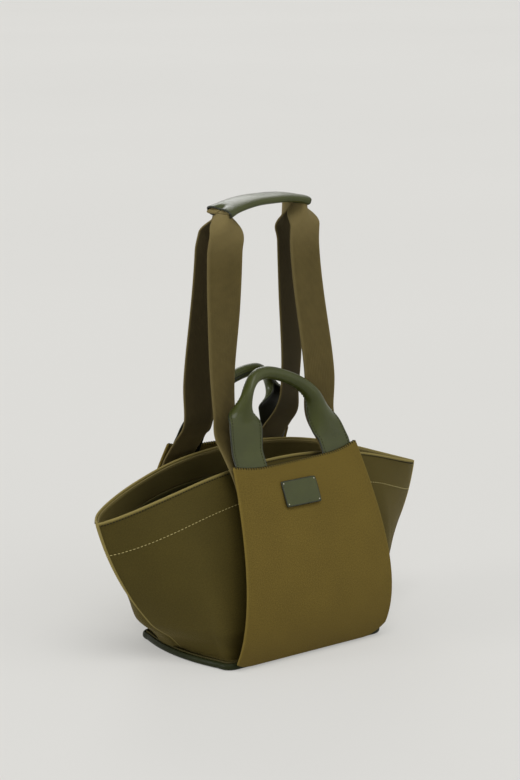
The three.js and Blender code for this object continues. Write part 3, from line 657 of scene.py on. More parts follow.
foot_start = front_corner(0)
foot_x, foot_y = foot_start[-1]
foot_end = bezier((foot_x, foot_y), (BASE_LENGTH / 2, foot_y / 2), (BASE_LENGTH / 2, 0))
foot_line = np.concatenate([foot_start, foot_end[1:]])
mouth_line = bezier(
    (0, -MOUTH_DEPTH / 2, MOUTH_HEIGHT), (105, -MOUTH_DEPTH / 2, MOUTH_HEIGHT),
    (MOUTH_LENGTH / 2 - 50, -26, TIP_HEIGHT + 13), (MOUTH_LENGTH / 2, 0, TIP_HEIGHT),
)


def rib_line(side):
    share = abs(side)
    foot = np.append(at_share(foot_line, share), WALL_FOOT)
    edge = at_share(mouth_line, share)
    end = share ** 3
    swell = np.array([END_SWELL * end, -FRONT_SWELL * (1 - end), -END_DROP * end])
    return bezier(foot, (foot + edge) / 2 + swell, edge) * np.array([math.copysign(1, side), 1, 1])


even = np.linspace(-1, 1, RIBS)
SIDES = np.sin(even * math.pi / 2) * 0.4 + even * 0.6
ribs = [rib_line(side) for side in SIDES]
rib_lengths = np.array([running(line, 0)[-1] for line in ribs])
print("wall ribs from", rib_lengths.min().round(), "to", rib_lengths.max().round(), "mm")

# %% How the cloth settles
WING = 90, 150
RIGHT_FULLNESS, LEFT_PULL = 7, 3
TIP_BLUNT = {"front": (1.0, 4.0), "back": (4.0, 15.0)}
BLUNT_START, BLUNT_FADE, BLUNT_HEIGHTS = 8, 110, (60, 160)
BACK_BULGE, END_BULGE = 6, 11
BACK_RAISE, LEFT_RAISE, RAISE_HEIGHTS = 3, 2, (90, 200)
TUCK, TUCK_HEIGHTS, TUCK_STRETCH = 11, (12, 44), 1.5
FOOT_DROP, DROP_HEIGHTS = 5.5, (12, 26)


def hump(height, foot, span):
    return np.sin(np.pi * np.clip((height - foot) / span, 0, 1))


def settle(points, side):
    """What the cloth does by its own weight; points has one column for each rib."""
    grid = facing(points, side)
    x, y, z = grid[..., 0], grid[..., 1], grid[..., 2]
    moved = grid.copy()
    moved[..., 0] += RIGHT_FULLNESS * smoothstep(x, *WING) * hump(z, 14, 165)
    moved[..., 0] += LEFT_PULL * smoothstep(-x, *WING) * smoothstep(z, 14, 60)
    from_tip = (1 - np.abs(SIDES)) * running(mouth_line, 0)[-1]
    blunt = np.where(SIDES < 0, *TIP_BLUNT[side]) * (1 - np.exp(-from_tip / BLUNT_START))
    blunt = blunt * np.exp(-(from_tip / BLUNT_FADE) ** 2)
    moved[..., 1] += np.sign(y) * blunt * smoothstep(z, *BLUNT_HEIGHTS)
    if side == "back":
        moved[..., 0] -= BACK_BULGE * smoothstep(-x, 60, 120) * hump(z, 8, 90) * (1 - SIDES ** 4)
        moved[..., 0] -= END_BULGE * hump(z, -8, 100) * smoothstep(SIDES, 0.6, 0.85) * (1 - SIDES ** 24)
        raised = BACK_RAISE + LEFT_RAISE * smoothstep(-x, 0, 120)
        moved[..., 2] += raised * smoothstep(z, *RAISE_HEIGHTS) * (1 - np.abs(SIDES) ** 6)
    tuck = TUCK * (1 - smoothstep(z, *TUCK_HEIGHTS))
    reach = np.maximum(np.hypot(x / TUCK_STRETCH, y), 1)
    moved[..., 0] -= tuck * (x / TUCK_STRETCH) / reach
    moved[..., 1] -= tuck * y / reach
    moved[..., 2] -= FOOT_DROP * (1 - smoothstep(z, *DROP_HEIGHTS))
    return moved


# %% Walls, hems and linings
WALL, HEM, LINING, LINING_DEPTH = SHELL - 0.6, 1.6, 1.2, 4.6
HEM_DEPTH, HEM_SLANT, LAP = 37, 2.5, 0.004
hem_depths = HEM_DEPTH - HEM_SLANT * SIDES
hem_foot = 1 - hem_depths / rib_lengths


def wall_grid(low, high, rows):
    """Rows between two shares of each rib; low and high are one number, or one for each rib."""
    share = np.linspace(0, 1, rows)
    low, high = np.broadcast_to(low, RIBS), np.broadcast_to(high, RIBS)
    return np.stack([at_share(line, a + (b - a) * share) for line, a, b in zip(ribs, low, high)], 1)


def layer(low, high, rows, depth):
    """A layer behind the wall that stays on its own side of the bag."""
    face = wall_grid(low, high, rows)
    inner = face - normals_of(face) * depth
    inner[..., 1] = np.minimum(inner[..., 1], -0.2)
    return inner


wall_face = wall_grid(0, 1, 80)
wall_normals = normals_of(wall_face)
hem_face = layer(hem_foot, 1 - LAP, 10, SHELL)
inner_face = layer(0, hem_foot - LAP, 50, LINING_DEPTH)
WALL_LAYERS = {
    "wall": (wall_face, WALL, wall_cloth, "shell", "body", "stretched"),
    "hem_facing": (hem_face, HEM, lit_facing_cloth, "shell", "hem", "stretched"),
    "inner_cloth": (inner_face, LINING, lining_cloth, "lining", "lining", "hung"),
}
for name, (grid, thickness, finish, slot, replaced, held) in WALL_LAYERS.items():
    for side in ("front", "back"):
        face, solid = settle(grid, side), f"{side}_{replaced}"
        add_sheet(f"{side}_{name}", face, thickness, finish, solid, "base_pan")

# %% [markdown]
# ## Pocket panels
# A panel of thick jersey stands off each wall, open at the top as a slip pocket. It bellies out, its top
# edge dips between the handles, and the jersey dents round the label plate that is riveted through it.

# %% Panels
PANEL_TOP_WIDTH, PANEL_HEIGHT, PANEL_TOP_SPACING = 172, 220, 117
PANEL_DIP, PANEL_DIP_WIDTH, PANEL_CROWN = 7.5, 80, 4
PANEL_ROUND, PANEL_ROUND_START = (8, 20), 0.75
PANEL_TILT = 2.5
PANEL_POINTS = 113
LABEL_X, LABEL_Z = -9, 182
LABEL_WIDTH, LABEL_HEIGHT, LABEL = 48, 29, 1.6
DENT, DENT_DROP, DENT_WIDTH, DENT_HEIGHT = 3.2, 26, 55, 22

foot_lean = math.atan2(38, 53)
panel_foot = BASE_DEPTH / 2 + SEAM + SHELL * math.cos(foot_lean)
panel_side = bezier(
    (103, -panel_foot, 0.8), (108, -panel_foot - 38, 53.8), (98, -PANEL_TOP_SPACING / 2 - 42, 135),
    (86, -PANEL_TOP_SPACING / 2, PANEL_HEIGHT),
)
panel_length = running(panel_side, 0)[-1]


def panel_points(u, v):
    across = 2 * u - 1
    rest = (PANEL_TOP_WIDTH - PANEL_DIP_WIDTH) / 2
    raised = np.clip((np.abs(across) * PANEL_TOP_WIDTH / 2 - PANEL_DIP_WIDTH / 2) / rest, 0, 1)
    rise = v - PANEL_DIP * (1 - raised ** 2) / panel_length * v ** 3
    corner = np.clip((np.abs(across) - PANEL_ROUND_START) / (1 - PANEL_ROUND_START), 0, 1) ** 2.2
    rise = rise + np.where(across < 0, *PANEL_ROUND) / panel_length * corner * (1 - v) ** 5
    side = at_share(panel_side, rise)
    forward = side[..., 1] - PANEL_CROWN * (1 - across ** 2) * np.sin(np.pi * rise)
    return np.stack([across * side[..., 0], forward, side[..., 2] + PANEL_TILT * across * v ** 4], -1)


def dented(grid):
    x, z = grid[..., 0] - LABEL_X, grid[..., 2] - LABEL_Z + DENT_DROP
    valley = DENT * np.exp(-(x / DENT_WIDTH) ** 2 - (z / DENT_HEIGHT) ** 2)
    return grid - normals_of(grid) * valley[..., None]


panel_plain = panel_points(
    *np.meshgrid(np.linspace(0.007, 0.993, PANEL_POINTS), np.linspace(0.008, 0.994, PANEL_POINTS)),
)
print("panel length along its curve", round(panel_length), "mm")

# %% [markdown]
# The jersey is padded with foam, so the panels are simulated as cloth. A coarser copy of each sheet is held
# at its seams, and on the front also under the label plate, and a light pressure from behind swells it for
# twenty frames. The way each point has moved is capped and laid on the finer sheet, and nothing of the trial
# is left.

# %% Swelling by simulation
SWELL_FRAMES = 20
PANEL_PRESSURE, PANEL_CAP = 1.5, 3.5


def spread(values, shape):
    """Values on a coarse grid, laid over a finer one and smoothed."""
    fine = values
    for axis, count in enumerate(shape):
        known = np.arange(fine.shape[axis])
        places = np.linspace(0, known[-1], count)
        fine = np.apply_along_axis(lambda line: np.interp(places, known, line), axis, fine)
    for _ in range(3):
        fine[1:-1] = fine[1:-1] * 0.5 + (fine[2:] + fine[:-2]) * 0.25
        fine[:, 1:-1] = fine[:, 1:-1] * 0.5 + (fine[:, 2:] + fine[:, :-2]) * 0.25
    return fine


def swollen(grid, held, pressure, cap):
    """The sheet after a pressure from behind; held marks what is sewn down, cap is in millimetres."""
    coarse, held_down = grid[::2, ::2], held[::2, ::2]
    index = np.arange(held_down.size).reshape(held_down.shape)
    trial = put("trial", mesh_of("trial", coarse.reshape(-1, 3), faces=cells_of(index).tolist()))
    trial.vertex_groups.new(name="held").add(np.flatnonzero(held_down).tolist(), 1.0, "REPLACE")
    cloth = trial.modifiers.new("cloth", "CLOTH").settings
    cloth.vertex_group_mass = "held"
    cloth.use_pressure = True
    cloth.uniform_pressure_force = pressure
    cloth.effector_weights.gravity = 0
    for step in range(1, SWELL_FRAMES + 1):
        bpy.context.scene.frame_set(step)
    ready = trial.evaluated_get(bpy.context.evaluated_depsgraph_get())
    places = np.empty(coarse.size)
    ready.data.vertices.foreach_get("co", places)
    bpy.context.scene.frame_set(1)
    bpy.data.objects.remove(trial)
    moved = places.reshape(coarse.shape) / MM - coarse
    far = np.linalg.norm(moved, axis=-1, keepdims=True)
    moved = moved * cap * np.tanh(far / cap) / np.maximum(far, 1e-9)
    print("swollen by", far.max().round(2), "mm, capped to", np.linalg.norm(moved, axis=-1).max().round(2))
    return grid + spread(moved, grid.shape[:2])


def seams_of(grid, width):
    """Marks the points of a grid that lie along its edges."""
    held = np.ones(grid.shape[:2], bool)
    held[width:-width, width:-width] = False
    return held


panel_seams = seams_of(panel_plain, 2)
from_label = np.abs(panel_plain - np.array([LABEL_X, 0, LABEL_Z]))
under_label = (from_label[..., 0] < LABEL_WIDTH / 2) & (from_label[..., 2] < LABEL_HEIGHT / 2)
panel_faces = {
    "front": swollen(dented(panel_plain), panel_seams | under_label, PANEL_PRESSURE, PANEL_CAP),
    "back": turned(swollen(panel_plain, panel_seams, PANEL_PRESSURE, PANEL_CAP)),
}
for side, grid in panel_faces.items():
    add_sheet(
        f"{side}_pocket_panel", grid, SHELL, panel_cloth, f"{side}_panel", "base_pan",
    )

# %% Pocket gussets
GUSSET, GUSSET_INSET, GUSSET_GAP, GUSSET_FOLD = 1.2, 12, 0.8, 4
GUSSET_SPAN = 0.065, 0.8


def wall_at(x, z):
    """How far forward the wall is at x and z."""
    level = np.array([[np.interp(z, line[:, 2], line[:, k]) for k in (0, 1)] for line in ribs])
    return np.interp(x, level[:, 0], level[:, 1])


def gusset_grid(rows=24, columns=8):
    share = np.linspace(*GUSSET_SPAN, rows)
    front = panel_points(1 - GUSSET_INSET / at_share(panel_side, share)[:, 0], share)
    front[:, 1] += SHELL + GUSSET_GAP
    back = front.copy()
    back[:, 1] = [wall_at(x, z) - GUSSET_GAP for x, _, z in front]
    t = np.linspace(0, 1, columns)[None, :, None]
    grid = front[:, None] * (1 - t) + back[:, None] * t
    grid[..., 0] -= GUSSET_FOLD * np.sin(np.pi * t[..., 0])
    return grid


right_gusset = gusset_grid()
gusset_grids = {
    "front_right": right_gusset,
    "front_left": mirrored(right_gusset),
    "back_left": turned(right_gusset),
    "back_right": turned(mirrored(right_gusset)),
}
for corner, grid in gusset_grids.items():
    add_sheet(
        f"{corner}_gusset_cloth", grid, GUSSET, wall_cloth, f"{corner}_pocket_gusset",
        corner.split("_")[0] + "_panel",
    )

# %% [markdown]
# ## Handles
# Each handle is one leather strap. It starts flat behind the panel, rolls into a tube round a cord and ends
# flat again behind the other end of the panel. The strap is bent row by row: the more it is rolled, the
# smaller the circle its width is laid on. On the left it rolls up at once and is pinched where it turns
# over, on the right it opens slowly. The handle swings on its tabs; where it turns over at the hinge, the
# strap is smoothed.

# %% Handle strap
HANDLE_SPACING, HINGE_RISE = 121, 10
TAB_WIDTH, STRAP_WIDTH, LEATHER = 40, 42, 2.0
TAB_LAP, TAB_ROWS, LAP_ROWS, STRAP_COLUMNS = 18, 14, 8, 33
TAB_DEPTH = SHELL + SEAM
ROLL_LEFT, ROLL_RIGHT, ROLL_CHANGE = (28, 62), (-10, 80), (-25, 10)
OPEN_LEFT, OPEN_RIGHT = 24, 16
PINCH, PINCH_RISE, PINCH_SPAN, PINCH_END = 0.25, 68, 9, (-38, -26)
HANDLE_LINE = [  # place to the right and rise above the hinge
    (-60.5, 0), (-56.5, 30), (-50, 60), (-36, 78), (-20, 81.5), (17, 69), (42, 50), (51, 28), (60.5, 0),
]
HANDLES = {"front": (14, 1.0), "back": (5, 0.8)}  # lean in degrees and stretch in height

tube_radius = (STRAP_WIDTH + 1.6) / (2 * math.pi)
top_tangent = unit((panel_side[-1] - panel_side[-2]) * np.array([0, 1, 1]))
top_inward = np.array([0, top_tangent[2], -top_tangent[1]])
panel_top = np.array([0, -PANEL_TOP_SPACING / 2, PANEL_HEIGHT])
handle_hinge = panel_top + top_tangent * HINGE_RISE + top_inward * TAB_DEPTH


def leaning(degrees):
    """The directions up and forward on something that leans back."""
    a = math.radians(degrees)
    return np.array([0, math.sin(a), math.cos(a)]), np.array([0, -math.cos(a), math.sin(a)])


def handle_path(stretch):
    return through([(x, h * stretch) for x, h in HANDLE_LINE])


def rolled_share(place, stretch):
    """How far the strap is rolled: 0 where it lies flat, 1 where it is a closed tube."""
    rise = place[:, 1] / stretch
    past = smoothstep(place[:, 0], *ROLL_CHANGE)
    return smoothstep(rise, *ROLL_LEFT) * (1 - past) + smoothstep(rise, *ROLL_RIGHT) * past


def pinched(place, stretch):
    """How much narrower the tube is where it turns over on the left."""
    left = 1 - smoothstep(place[:, 0], *PINCH_END)
    return 1 - PINCH * left * np.exp(-((place[:, 1] / stretch - PINCH_RISE) / PINCH_SPAN) ** 2)


def handle_strap(lean, stretch, rows=150):
    share = np.linspace(0, 1, rows)
    place = at_share(handle_path(stretch), share)
    rolled = rolled_share(place, stretch)[:, None]
    opened = smoothstep(place[:, 1] / np.where(place[:, 0] < 0, OPEN_LEFT, OPEN_RIGHT), 0, 1)[:, None]
    square = np.stack([np.zeros(rows), np.where(share < 0.5, 1.0, -1.0)], -1)
    tangent = unit(square * (1 - opened) + unit(np.gradient(place, axis=0)) * opened)
    width = TAB_WIDTH + (STRAP_WIDTH - TAB_WIDTH) * opened
    bend = np.maximum(rolled, 1e-4) / tube_radius
    angle = (np.linspace(0, 1, STRAP_COLUMNS)[None] - 0.5) * width * bend
    pinch = pinched(place, stretch)[:, None]
    across = np.sin(angle) / bend * pinch
    out = ((np.cos(angle) - 1) / bend + rolled * tube_radius) / pinch ** 0.5
    rise = place[:, 1:] - across * tangent[:, :1]
    up, forward = leaning(lean)
    strap = handle_hinge + rise[..., None] * up + out[..., None] * forward
    strap[..., 0] = place[:, :1] + across * tangent[:, 1:]
    return strap


def handle_tab():
    """The flat end behind the left end of the panel, from its foot up to just under the hinge."""
    line = at_share(panel_side, np.linspace(1 - TAB_LAP / panel_length, 1, LAP_ROWS))
    rise = np.linspace(2, HINGE_RISE - 1.5, TAB_ROWS - LAP_ROWS)[:, None]
    line = np.concatenate([line, line[-1:] + top_tangent * rise]) + top_inward * TAB_DEPTH
    grid = np.repeat(line[:, None], STRAP_COLUMNS, 1)
    grid[..., 0] = -HANDLE_SPACING / 2 + (np.linspace(0, 1, STRAP_COLUMNS) - 0.5) * TAB_WIDTH
    return grid


def whole_handle(lean, stretch):
    left = handle_tab()
    right = (left * np.array([-1, 1, 1]))[::-1]
    grid = np.concatenate([left, handle_strap(lean, stretch), right])
    for _ in range(6):
        inner = grid[1:-1]
        near = 1 - smoothstep(np.abs(inner[..., 2:] - handle_hinge[2]), 4, 12)
        grid[1:-1] = inner + near * 0.5 * ((grid[2:] + grid[:-2]) / 2 - inner)
    return grid


handle_grids = {side: facing(whole_handle(*shape), side) for side, shape in HANDLES.items()}


def swing(piece, side):
    """Bakes the place of a piece of a handle into its mesh."""
    y = handle_grids[side][TAB_ROWS - 1, 0, 1] * MM
    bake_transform(piece)


for side, grid in handle_grids.items():
    strap = shell(f"{side}_handle_strap", grid, LEATHER, leather)
    tabs = [f"{side}_{end}_handle_tab" for end in ("left", "right")]
    dress(strap, replaced=[f"{side}_handle", *tabs])
    swing(strap, side)
    print(strap.name, len(strap.data.polygons), "faces")

# %% [markdown]
# The cord in the handle is a rule in itself: a circle carried along a path. Geometry Nodes do this with
# Curve to Mesh, and the tree keeps its radius as a named input.

# %% Handle cords
CORD_RADIUS = 0.0039


class Growth(Tree):
    """A tree of Geometry Nodes with named inputs, one of which is the finish."""

    def __init__(self, name, **inputs):
        super().__init__(bpy.data.node_groups.new(name, "GeometryNodeTree"))
        self.inputs = self.graph.interface
        for label, kind in {"Geometry": "Geometry", **inputs, "Finish": "Material"}.items():
            self.inputs.new_socket(label, in_out="INPUT", socket_type=f"NodeSocket{kind}")
        self.inputs.new_socket("Geometry", in_out="OUTPUT", socket_type="NodeSocketGeometry")
        self.start = self.graph.nodes.new("NodeGroupInput")

    def given(self, label):
        return Wire(self, self.start.outputs[label])

    def close(self, shape):
        real = self.node("GeometryNodeRealizeInstances", {}, {"Geometry": shape})
        done = self.node("GeometryNodeSetMaterial", {}, {"Geometry": real, "Material": self.given("Finish")})
        self.join(self.graph.nodes.new("NodeGroupOutput").inputs[0], done)


def grown(name, lines, growth, **values):
    """Runs a tree over open lines, given in millimetres, and keeps the result as a plain mesh."""
    points, edges = [], []
    for line in lines:
        start = len(points)
        points += list(line)
        edges += [(k, k + 1) for k in range(start, len(points) - 1)]
    source = put(name + "_line", mesh_of(name + "_line", points, edges))
    modifier = source.modifiers.new("grow", "NODES")
    modifier.node_group = growth.graph
    for item in growth.inputs.items_tree:
        if item.in_out == "INPUT" and item.name in values:
            modifier[item.identifier] = values[item.name]
    bpy.context.view_layer.update()
    ready = source.evaluated_get(bpy.context.evaluated_depsgraph_get())
    made = bpy.data.meshes.new_from_object(ready)
    made.name = name
    bpy.data.objects.remove(source)
    piece = put(name, made)
    made.polygons.foreach_set("use_smooth", [True] * len(made.polygons))
    print(name, len(made.polygons), "faces")
    return piece


cord_growth = Growth("cord along a path", Radius="Float")
cord_line = cord_growth.node("GeometryNodeMeshToCurve", {}, {"Mesh": cord_growth.given("Geometry")})
cord_round = cord_growth.node(
    "GeometryNodeCurvePrimitiveCircle", {}, {"Resolution": 12, "Radius": cord_growth.given("Radius")},
)
cord_growth.close(cord_growth.node(
    "GeometryNodeCurveToMesh", {}, {"Curve": cord_line, "Profile Curve": cord_round, "Fill Caps": True},
))

for side, (lean, stretch) in HANDLES.items():
    path = at_share(handle_path(stretch), np.linspace(0, 1, 160))
    path = path[(rolled_share(path, stretch) > 0.97) & (pinched(path, stretch) > 0.94)]
    line = handle_hinge + path[:, 1:] * leaning(lean)[0]
    line[:, 0] = path[:, 0]
    line = facing(line, side)
    cord = grown(f"{side}_handle_cord", [line], cord_growth, Radius=CORD_RADIUS, Finish=webbing.material)
    dress(cord, f"{side}_handle", [f"{side}_handle_core"])

# %% [markdown]
# ## Shoulder strap
# Flat webbing comes up behind each handle tab, leans in over the mouth and rises to the pad, twisting a
# little on the way. At the pad it folds in half lengthwise: the middle strip bends round while both halves
# turn back. On most legs the inner half gives way first, so that the outer edge runs straight up and the
# inner one has a shoulder.

# %% Webbing legs
WEB_WIDTH, WEB, WEB_BORDER, CREASE = 38, 2.0, 3, 5
STRAP_X, STRAP_LEAN, STRAP_LEANT = 58, 38, 58
STRAP_LAP, STRAP_BEND = 36, 20
UPRIGHT_HEIGHT, INTO_PAD = 295, 4
PAD_TOP, PAD_HALF, PAD_RISE, PAD_THICK, PAD_WIDTH, PAD_TURN = 497, 62, 13, 9, 42, 5
TWIST_HEIGHTS, UNTWIST_HEIGHT, UNDER_PAD, NEAR_PAD = (232, 270), 262, 30, 34
LATE, EARLY = (-14, 14), (-22, 14)

pad_radius = (PAD_HALF ** 2 + PAD_RISE ** 2) / (2 * PAD_RISE)
pad_centre = PAD_TOP - pad_radius
crease_radius = CREASE / (math.pi / 2)
fold_depth = crease_radius + WEB_WIDTH / 2 - CREASE
pivot_radius = pad_radius - PAD_THICK - SEAM - crease_radius
pivot_height = pad_centre + math.sqrt(pivot_radius ** 2 - STRAP_X ** 2)
strap_depth = TAB_DEPTH + LEATHER + 3 * SEAM + WEB / 2
strap_foot = panel_top + top_inward * strap_depth - top_tangent * STRAP_LAP
strap_bend = strap_foot + top_tangent * STRAP_BEND
strap_leant = strap_bend + leaning(STRAP_LEAN)[0] * STRAP_LEANT


def strap_grid(offset, shift, twist, drift, inner_fold, outer_fold, lift=0, rows=170, columns=25):
    """A leg on the right of the front, with its twist in degrees at the foot and below the pad, and its
    drift outwards in millimetres at the foot, below the pad and in it."""
    upright = np.array([0, -offset, UPRIGHT_HEIGHT])
    head = np.array([0, shift - fold_depth - SEAM, pivot_height + lift])
    line = through([
        strap_foot, strap_bend, (strap_bend + strap_leant) / 2, strap_leant, upright, (upright + head) / 2,
        head, head + np.array([0, 0, crease_radius + INTO_PAD]),
    ])
    place = at_share(line, np.linspace(0, 1, rows))
    rise = place[:, 2:]
    thread = np.linspace(-WEB_WIDTH / 2, WEB_WIDTH / 2, columns)[None]
    inner, outer = (smoothstep(rise - pivot_height, *fold) for fold in (inner_fold, outer_fold))
    angle = np.maximum(np.where(thread < 0, inner, outer), 1e-4) * math.pi / 2
    bent = np.clip(thread, -CREASE, CREASE)
    flat = np.abs(thread - bent)
    radius = CREASE / angle
    across = radius * np.sin(bent / radius) + np.sign(thread) * flat * np.cos(angle)
    back = radius * (1 - np.cos(bent / radius)) + flat * np.sin(angle)
    up = smoothstep(rise, UNTWIST_HEIGHT, pivot_height - UNDER_PAD)
    top = smoothstep(rise, pivot_height - NEAR_PAD, pivot_height)
    turn = np.radians(twist[0] * smoothstep(rise, *TWIST_HEIGHTS) * (1 - up) + twist[1] * up)
    middle = STRAP_X + drift[0] + (drift[1] - drift[0]) * up + (drift[2] - drift[1]) * top
    grid = np.repeat(place[:, None], columns, 1)
    grid[..., 0] = middle + across * np.cos(turn) + back * np.sin(turn)
    grid[..., 1] += back * np.cos(turn) - across * np.sin(turn)
    return grid + normals_of(grid) * WEB / 2


leg_grids = {
    "front_right": strap_grid(24, PAD_TURN, (6, 2), (6, -9.5, -7), LATE, LATE, lift=3),
    "front_left": mirrored(strap_grid(16, -PAD_TURN, (17, -18), (8.5, 9.5, 5), EARLY, LATE)),
    "back_left": turned(strap_grid(24, PAD_TURN, (0, 0), (12, 2, -4), EARLY, LATE)),
    "back_right": turned(mirrored(strap_grid(16, -PAD_TURN, (20, 5), (-3, 0, -8), EARLY, LATE, lift=3))),
}
for corner, grid in leg_grids.items():
    end = corner.split("_")[1]
    leg = shell(f"{corner}_webbing", grid, WEB, webbing, WEB_BORDER)
    dress(leg, replaced=[f"{corner}_strap_leg", f"{corner}_strap_tail"])
    x = STRAP_X * MM * (1 if end == "right" else -1)
    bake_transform(leg)
    print(leg.name, round(running(grid, 0)[-1, 0]), "mm long")

# %% [markdown]
# The pad is a leather sleeve, sewn along its underside round the two folded bands. Its ends are cut in a
# wave, so that the leather hugs each fold. It is modelled as a sheet wrapped round a flattened tube, held at
# its seam and its ends and swollen by the same simulation as the panels, because foam fills it.

# %% Shoulder pad
PAD_SHIFT, PAD_LIFT, PAD_SLUMP = 5, 4, 2.5
PAD_SQUARE, PAD_CROWN, PAD_FLARE, PAD_SEAM = 2 / 3.2, 1.1, 1.0, (-88, 268)
PAD_END, PAD_VALLEY, VALLEY_WIDTH = (0.78, 1.0), 4.2, 5.5
PAD_PRESSURE, PAD_CAP = 4, 1.2
BAND, BAND_HEIGHT, BAND_EDGES = 3.8, 1.9, (2.2, 15.8)
pad_spread = math.asin(PAD_HALF / pad_radius)
pad_turn = math.asin(PAD_TURN / STRAP_X)


def signed(value, power):
    return np.sign(value) * np.abs(value) ** power


def on_pad(share, across, height):
    """A place on the arched pad: share of its half length, across it, and above its middle line."""
    angle = share * pad_spread
    radius = pad_radius - PAD_THICK / 2 + height
    x, y, z = radius * np.sin(angle), across, pad_centre + radius * np.cos(angle)
    z = z + PAD_LIFT * smoothstep(share, 0, 1) - PAD_SLUMP * np.clip(1 - share ** 2, 0, 1)
    c, s = math.cos(pad_turn), math.sin(pad_turn)
    return np.stack([x * c - y * s - PAD_SHIFT, x * s + y * c, z + 0 * x], -1)


def pad_grid(rows=91, columns=73):
    theta = np.radians(np.linspace(*PAD_SEAM, columns))[None]
    share = np.linspace(-1, 1, rows)[:, None]
    across = signed(np.cos(theta), PAD_SQUARE) * PAD_WIDTH / 2
    top, under = np.clip(np.sin(theta), 0, 1), np.clip(-np.sin(theta), 0, 1)
    valley = top * np.exp(-(across / VALLEY_WIDTH) ** 2)
    end = smoothstep(np.abs(share), *PAD_END)
    height = signed(np.sin(theta), PAD_SQUARE) * PAD_THICK / 2
    height = height + PAD_CROWN * top * np.cos(across / PAD_WIDTH * math.pi)
    height = height + end * (PAD_FLARE * signed(np.sin(theta), 0.5) - PAD_VALLEY * valley)
    back = across / PAD_WIDTH + 0.5
    trim = np.where(share < 0, 0.03 + 0.1 * back, 0.04 - 0.05 * back)
    along = share * (1.02 - trim + end * (0.02 * under - 0.06 * valley))
    return on_pad(along, across * (1 + 0.04 * end), height)


pad_plain = pad_grid()
pad_face = swollen(pad_plain, seams_of(pad_plain, 3), PAD_PRESSURE, PAD_CAP)
pad = shell("leather_pad", pad_face, LEATHER, leather)
dress(pad, "pad", ["shoulder_pad"])

for side, edges in (("front", np.negative(BAND_EDGES)), ("back", BAND_EDGES[::-1])):
    share, across = np.meshgrid(np.linspace(-0.96, 0.96, 60), np.linspace(*edges, 8), indexing="ij")
    band = shell(f"{side}_folded_band", on_pad(share, across, BAND_HEIGHT), BAND, webbing)
    dress(band, "pad", [f"{side}_strap_top"])
print("pad arc", round(2 * pad_spread * pad_radius), "mm")

# %% [markdown]
# ## Label plate
# A small plain plate of leather is pinned to the front panel by its corners, a little above the middle.

# %% Label plate
LABEL_BOW, LABEL_ROUND = 0.4, 0.018
label_seat = np.mean(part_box("label_plate"), axis=0) / MM
label_out = normals_of(panel_plain).reshape(-1, 3)[np.argmin(from_label[..., 0] + from_label[..., 2])]
label_along = unit(np.cross(np.array([0, 0, 1.0]), label_out))
label_up = np.cross(label_out, label_along)


def on_label(along, up, out):
    """Places on the label plate: along it, up it and out of its middle."""
    steps = zip((along, up, out), (label_along, label_up, label_out))
    return label_seat + sum(np.asarray(step)[..., None] * axis for step, axis in steps)


def label_grid(rows=24, columns=40):
    x, up = np.meshgrid(np.linspace(-1, 1, columns), np.linspace(-1, 1, rows))
    squeeze = (1 - LABEL_ROUND * np.abs(x * up) ** 8) / 2
    return on_label(
        x * squeeze * (LABEL_WIDTH - LABEL), up * squeeze * (LABEL_HEIGHT - LABEL),
        LABEL / 2 - LABEL_BOW * (x ** 2 + up ** 2) / 2,
    )


label = shell("bare_label", label_grid(), LABEL, leather)
dress(label, "bag", ["label_plate"])
print("label at", label_seat.round(1))

# %% [markdown]
# ## Stitches and pins
# Stitches repeat along a seam, so one Geometry Nodes tree makes them all. It resamples a line at the stitch
# pitch, lays a small bead of thread along the line at each point and tilts each a little by a seeded random
# angle, as a machine does. Thick short beads on the top edge of the panels make whip stitches over it, and
# metal ones make the pins of the label and the teeth of the zip.

# %% Stitch tree
SEED, TILT = 7, 0.12

growth = Growth(
    "stitches along a seam",
    **{"Pitch": "Float", "Stitch Length": "Float", "Thread": "Float", "Tilt": "Float", "Seed": "Int"},
)
seam_line = growth.node("GeometryNodeMeshToCurve", {}, {"Mesh": growth.given("Geometry")})
seam_points = growth.node(
    "GeometryNodeCurveToPoints", {"mode": "LENGTH"}, {"Curve": seam_line, "Length": growth.given("Pitch")},
)
lie = growth.node(
    "FunctionNodeAlignRotationToVector", {"axis": "X"}, {"Vector": seam_points.beside("Tangent")},
)
tilt = growth.node(
    "FunctionNodeRandomValue", {"data_type": "FLOAT"},
    {2: growth.given("Tilt") * -1, 3: growth.given("Tilt"), "Seed": growth.given("Seed")}, 1,
)
tilt_turn = growth.node("ShaderNodeCombineXYZ", {}, {"Z": tilt})
tilted = growth.node(
    "FunctionNodeRotateRotation", {"rotation_space": "LOCAL"}, {"Rotation": lie, "Rotate By": tilt_turn},
)
bead = growth.node("GeometryNodeMeshUVSphere", {}, {"Segments": 6, "Rings": 5, "Radius": 0.5})
bead_size = growth.node("ShaderNodeCombineXYZ", {}, {
    "X": growth.given("Stitch Length"), "Y": growth.given("Thread"), "Z": growth.given("Thread"),
})
growth.close(growth.node("GeometryNodeInstanceOnPoints", {}, {
    "Points": seam_points, "Instance": bead, "Rotation": tilted, "Scale": bead_size,
}))


def stitch(name, lines, finish, size, body=None, replaced=(), tilt=TILT):
    """Stitches along lines; size is their pitch, their length and their thickness in millimetres."""
    sizes = {label: value * MM for label, value in zip(("Pitch", "Stitch Length", "Thread"), size)}
    piece = grown(name, lines, growth, **sizes, Tilt=tilt, Seed=SEED, Finish=finish.material)
    dress(piece, body, replaced)
    return piece


# %% Seams of the walls and panels


def wall_seam(drop, out):
    """A line on the wall, so far below the mouth and out of the face."""
    share = 1 - drop / rib_lengths
    line = np.stack([at_share(r, s) for r, s in zip(ribs, share)])
    last = len(wall_face) - 1
    rows = np.clip((share * last).round().astype(int), 0, last)
    return line + wall_normals[rows, np.arange(RIBS)] * out


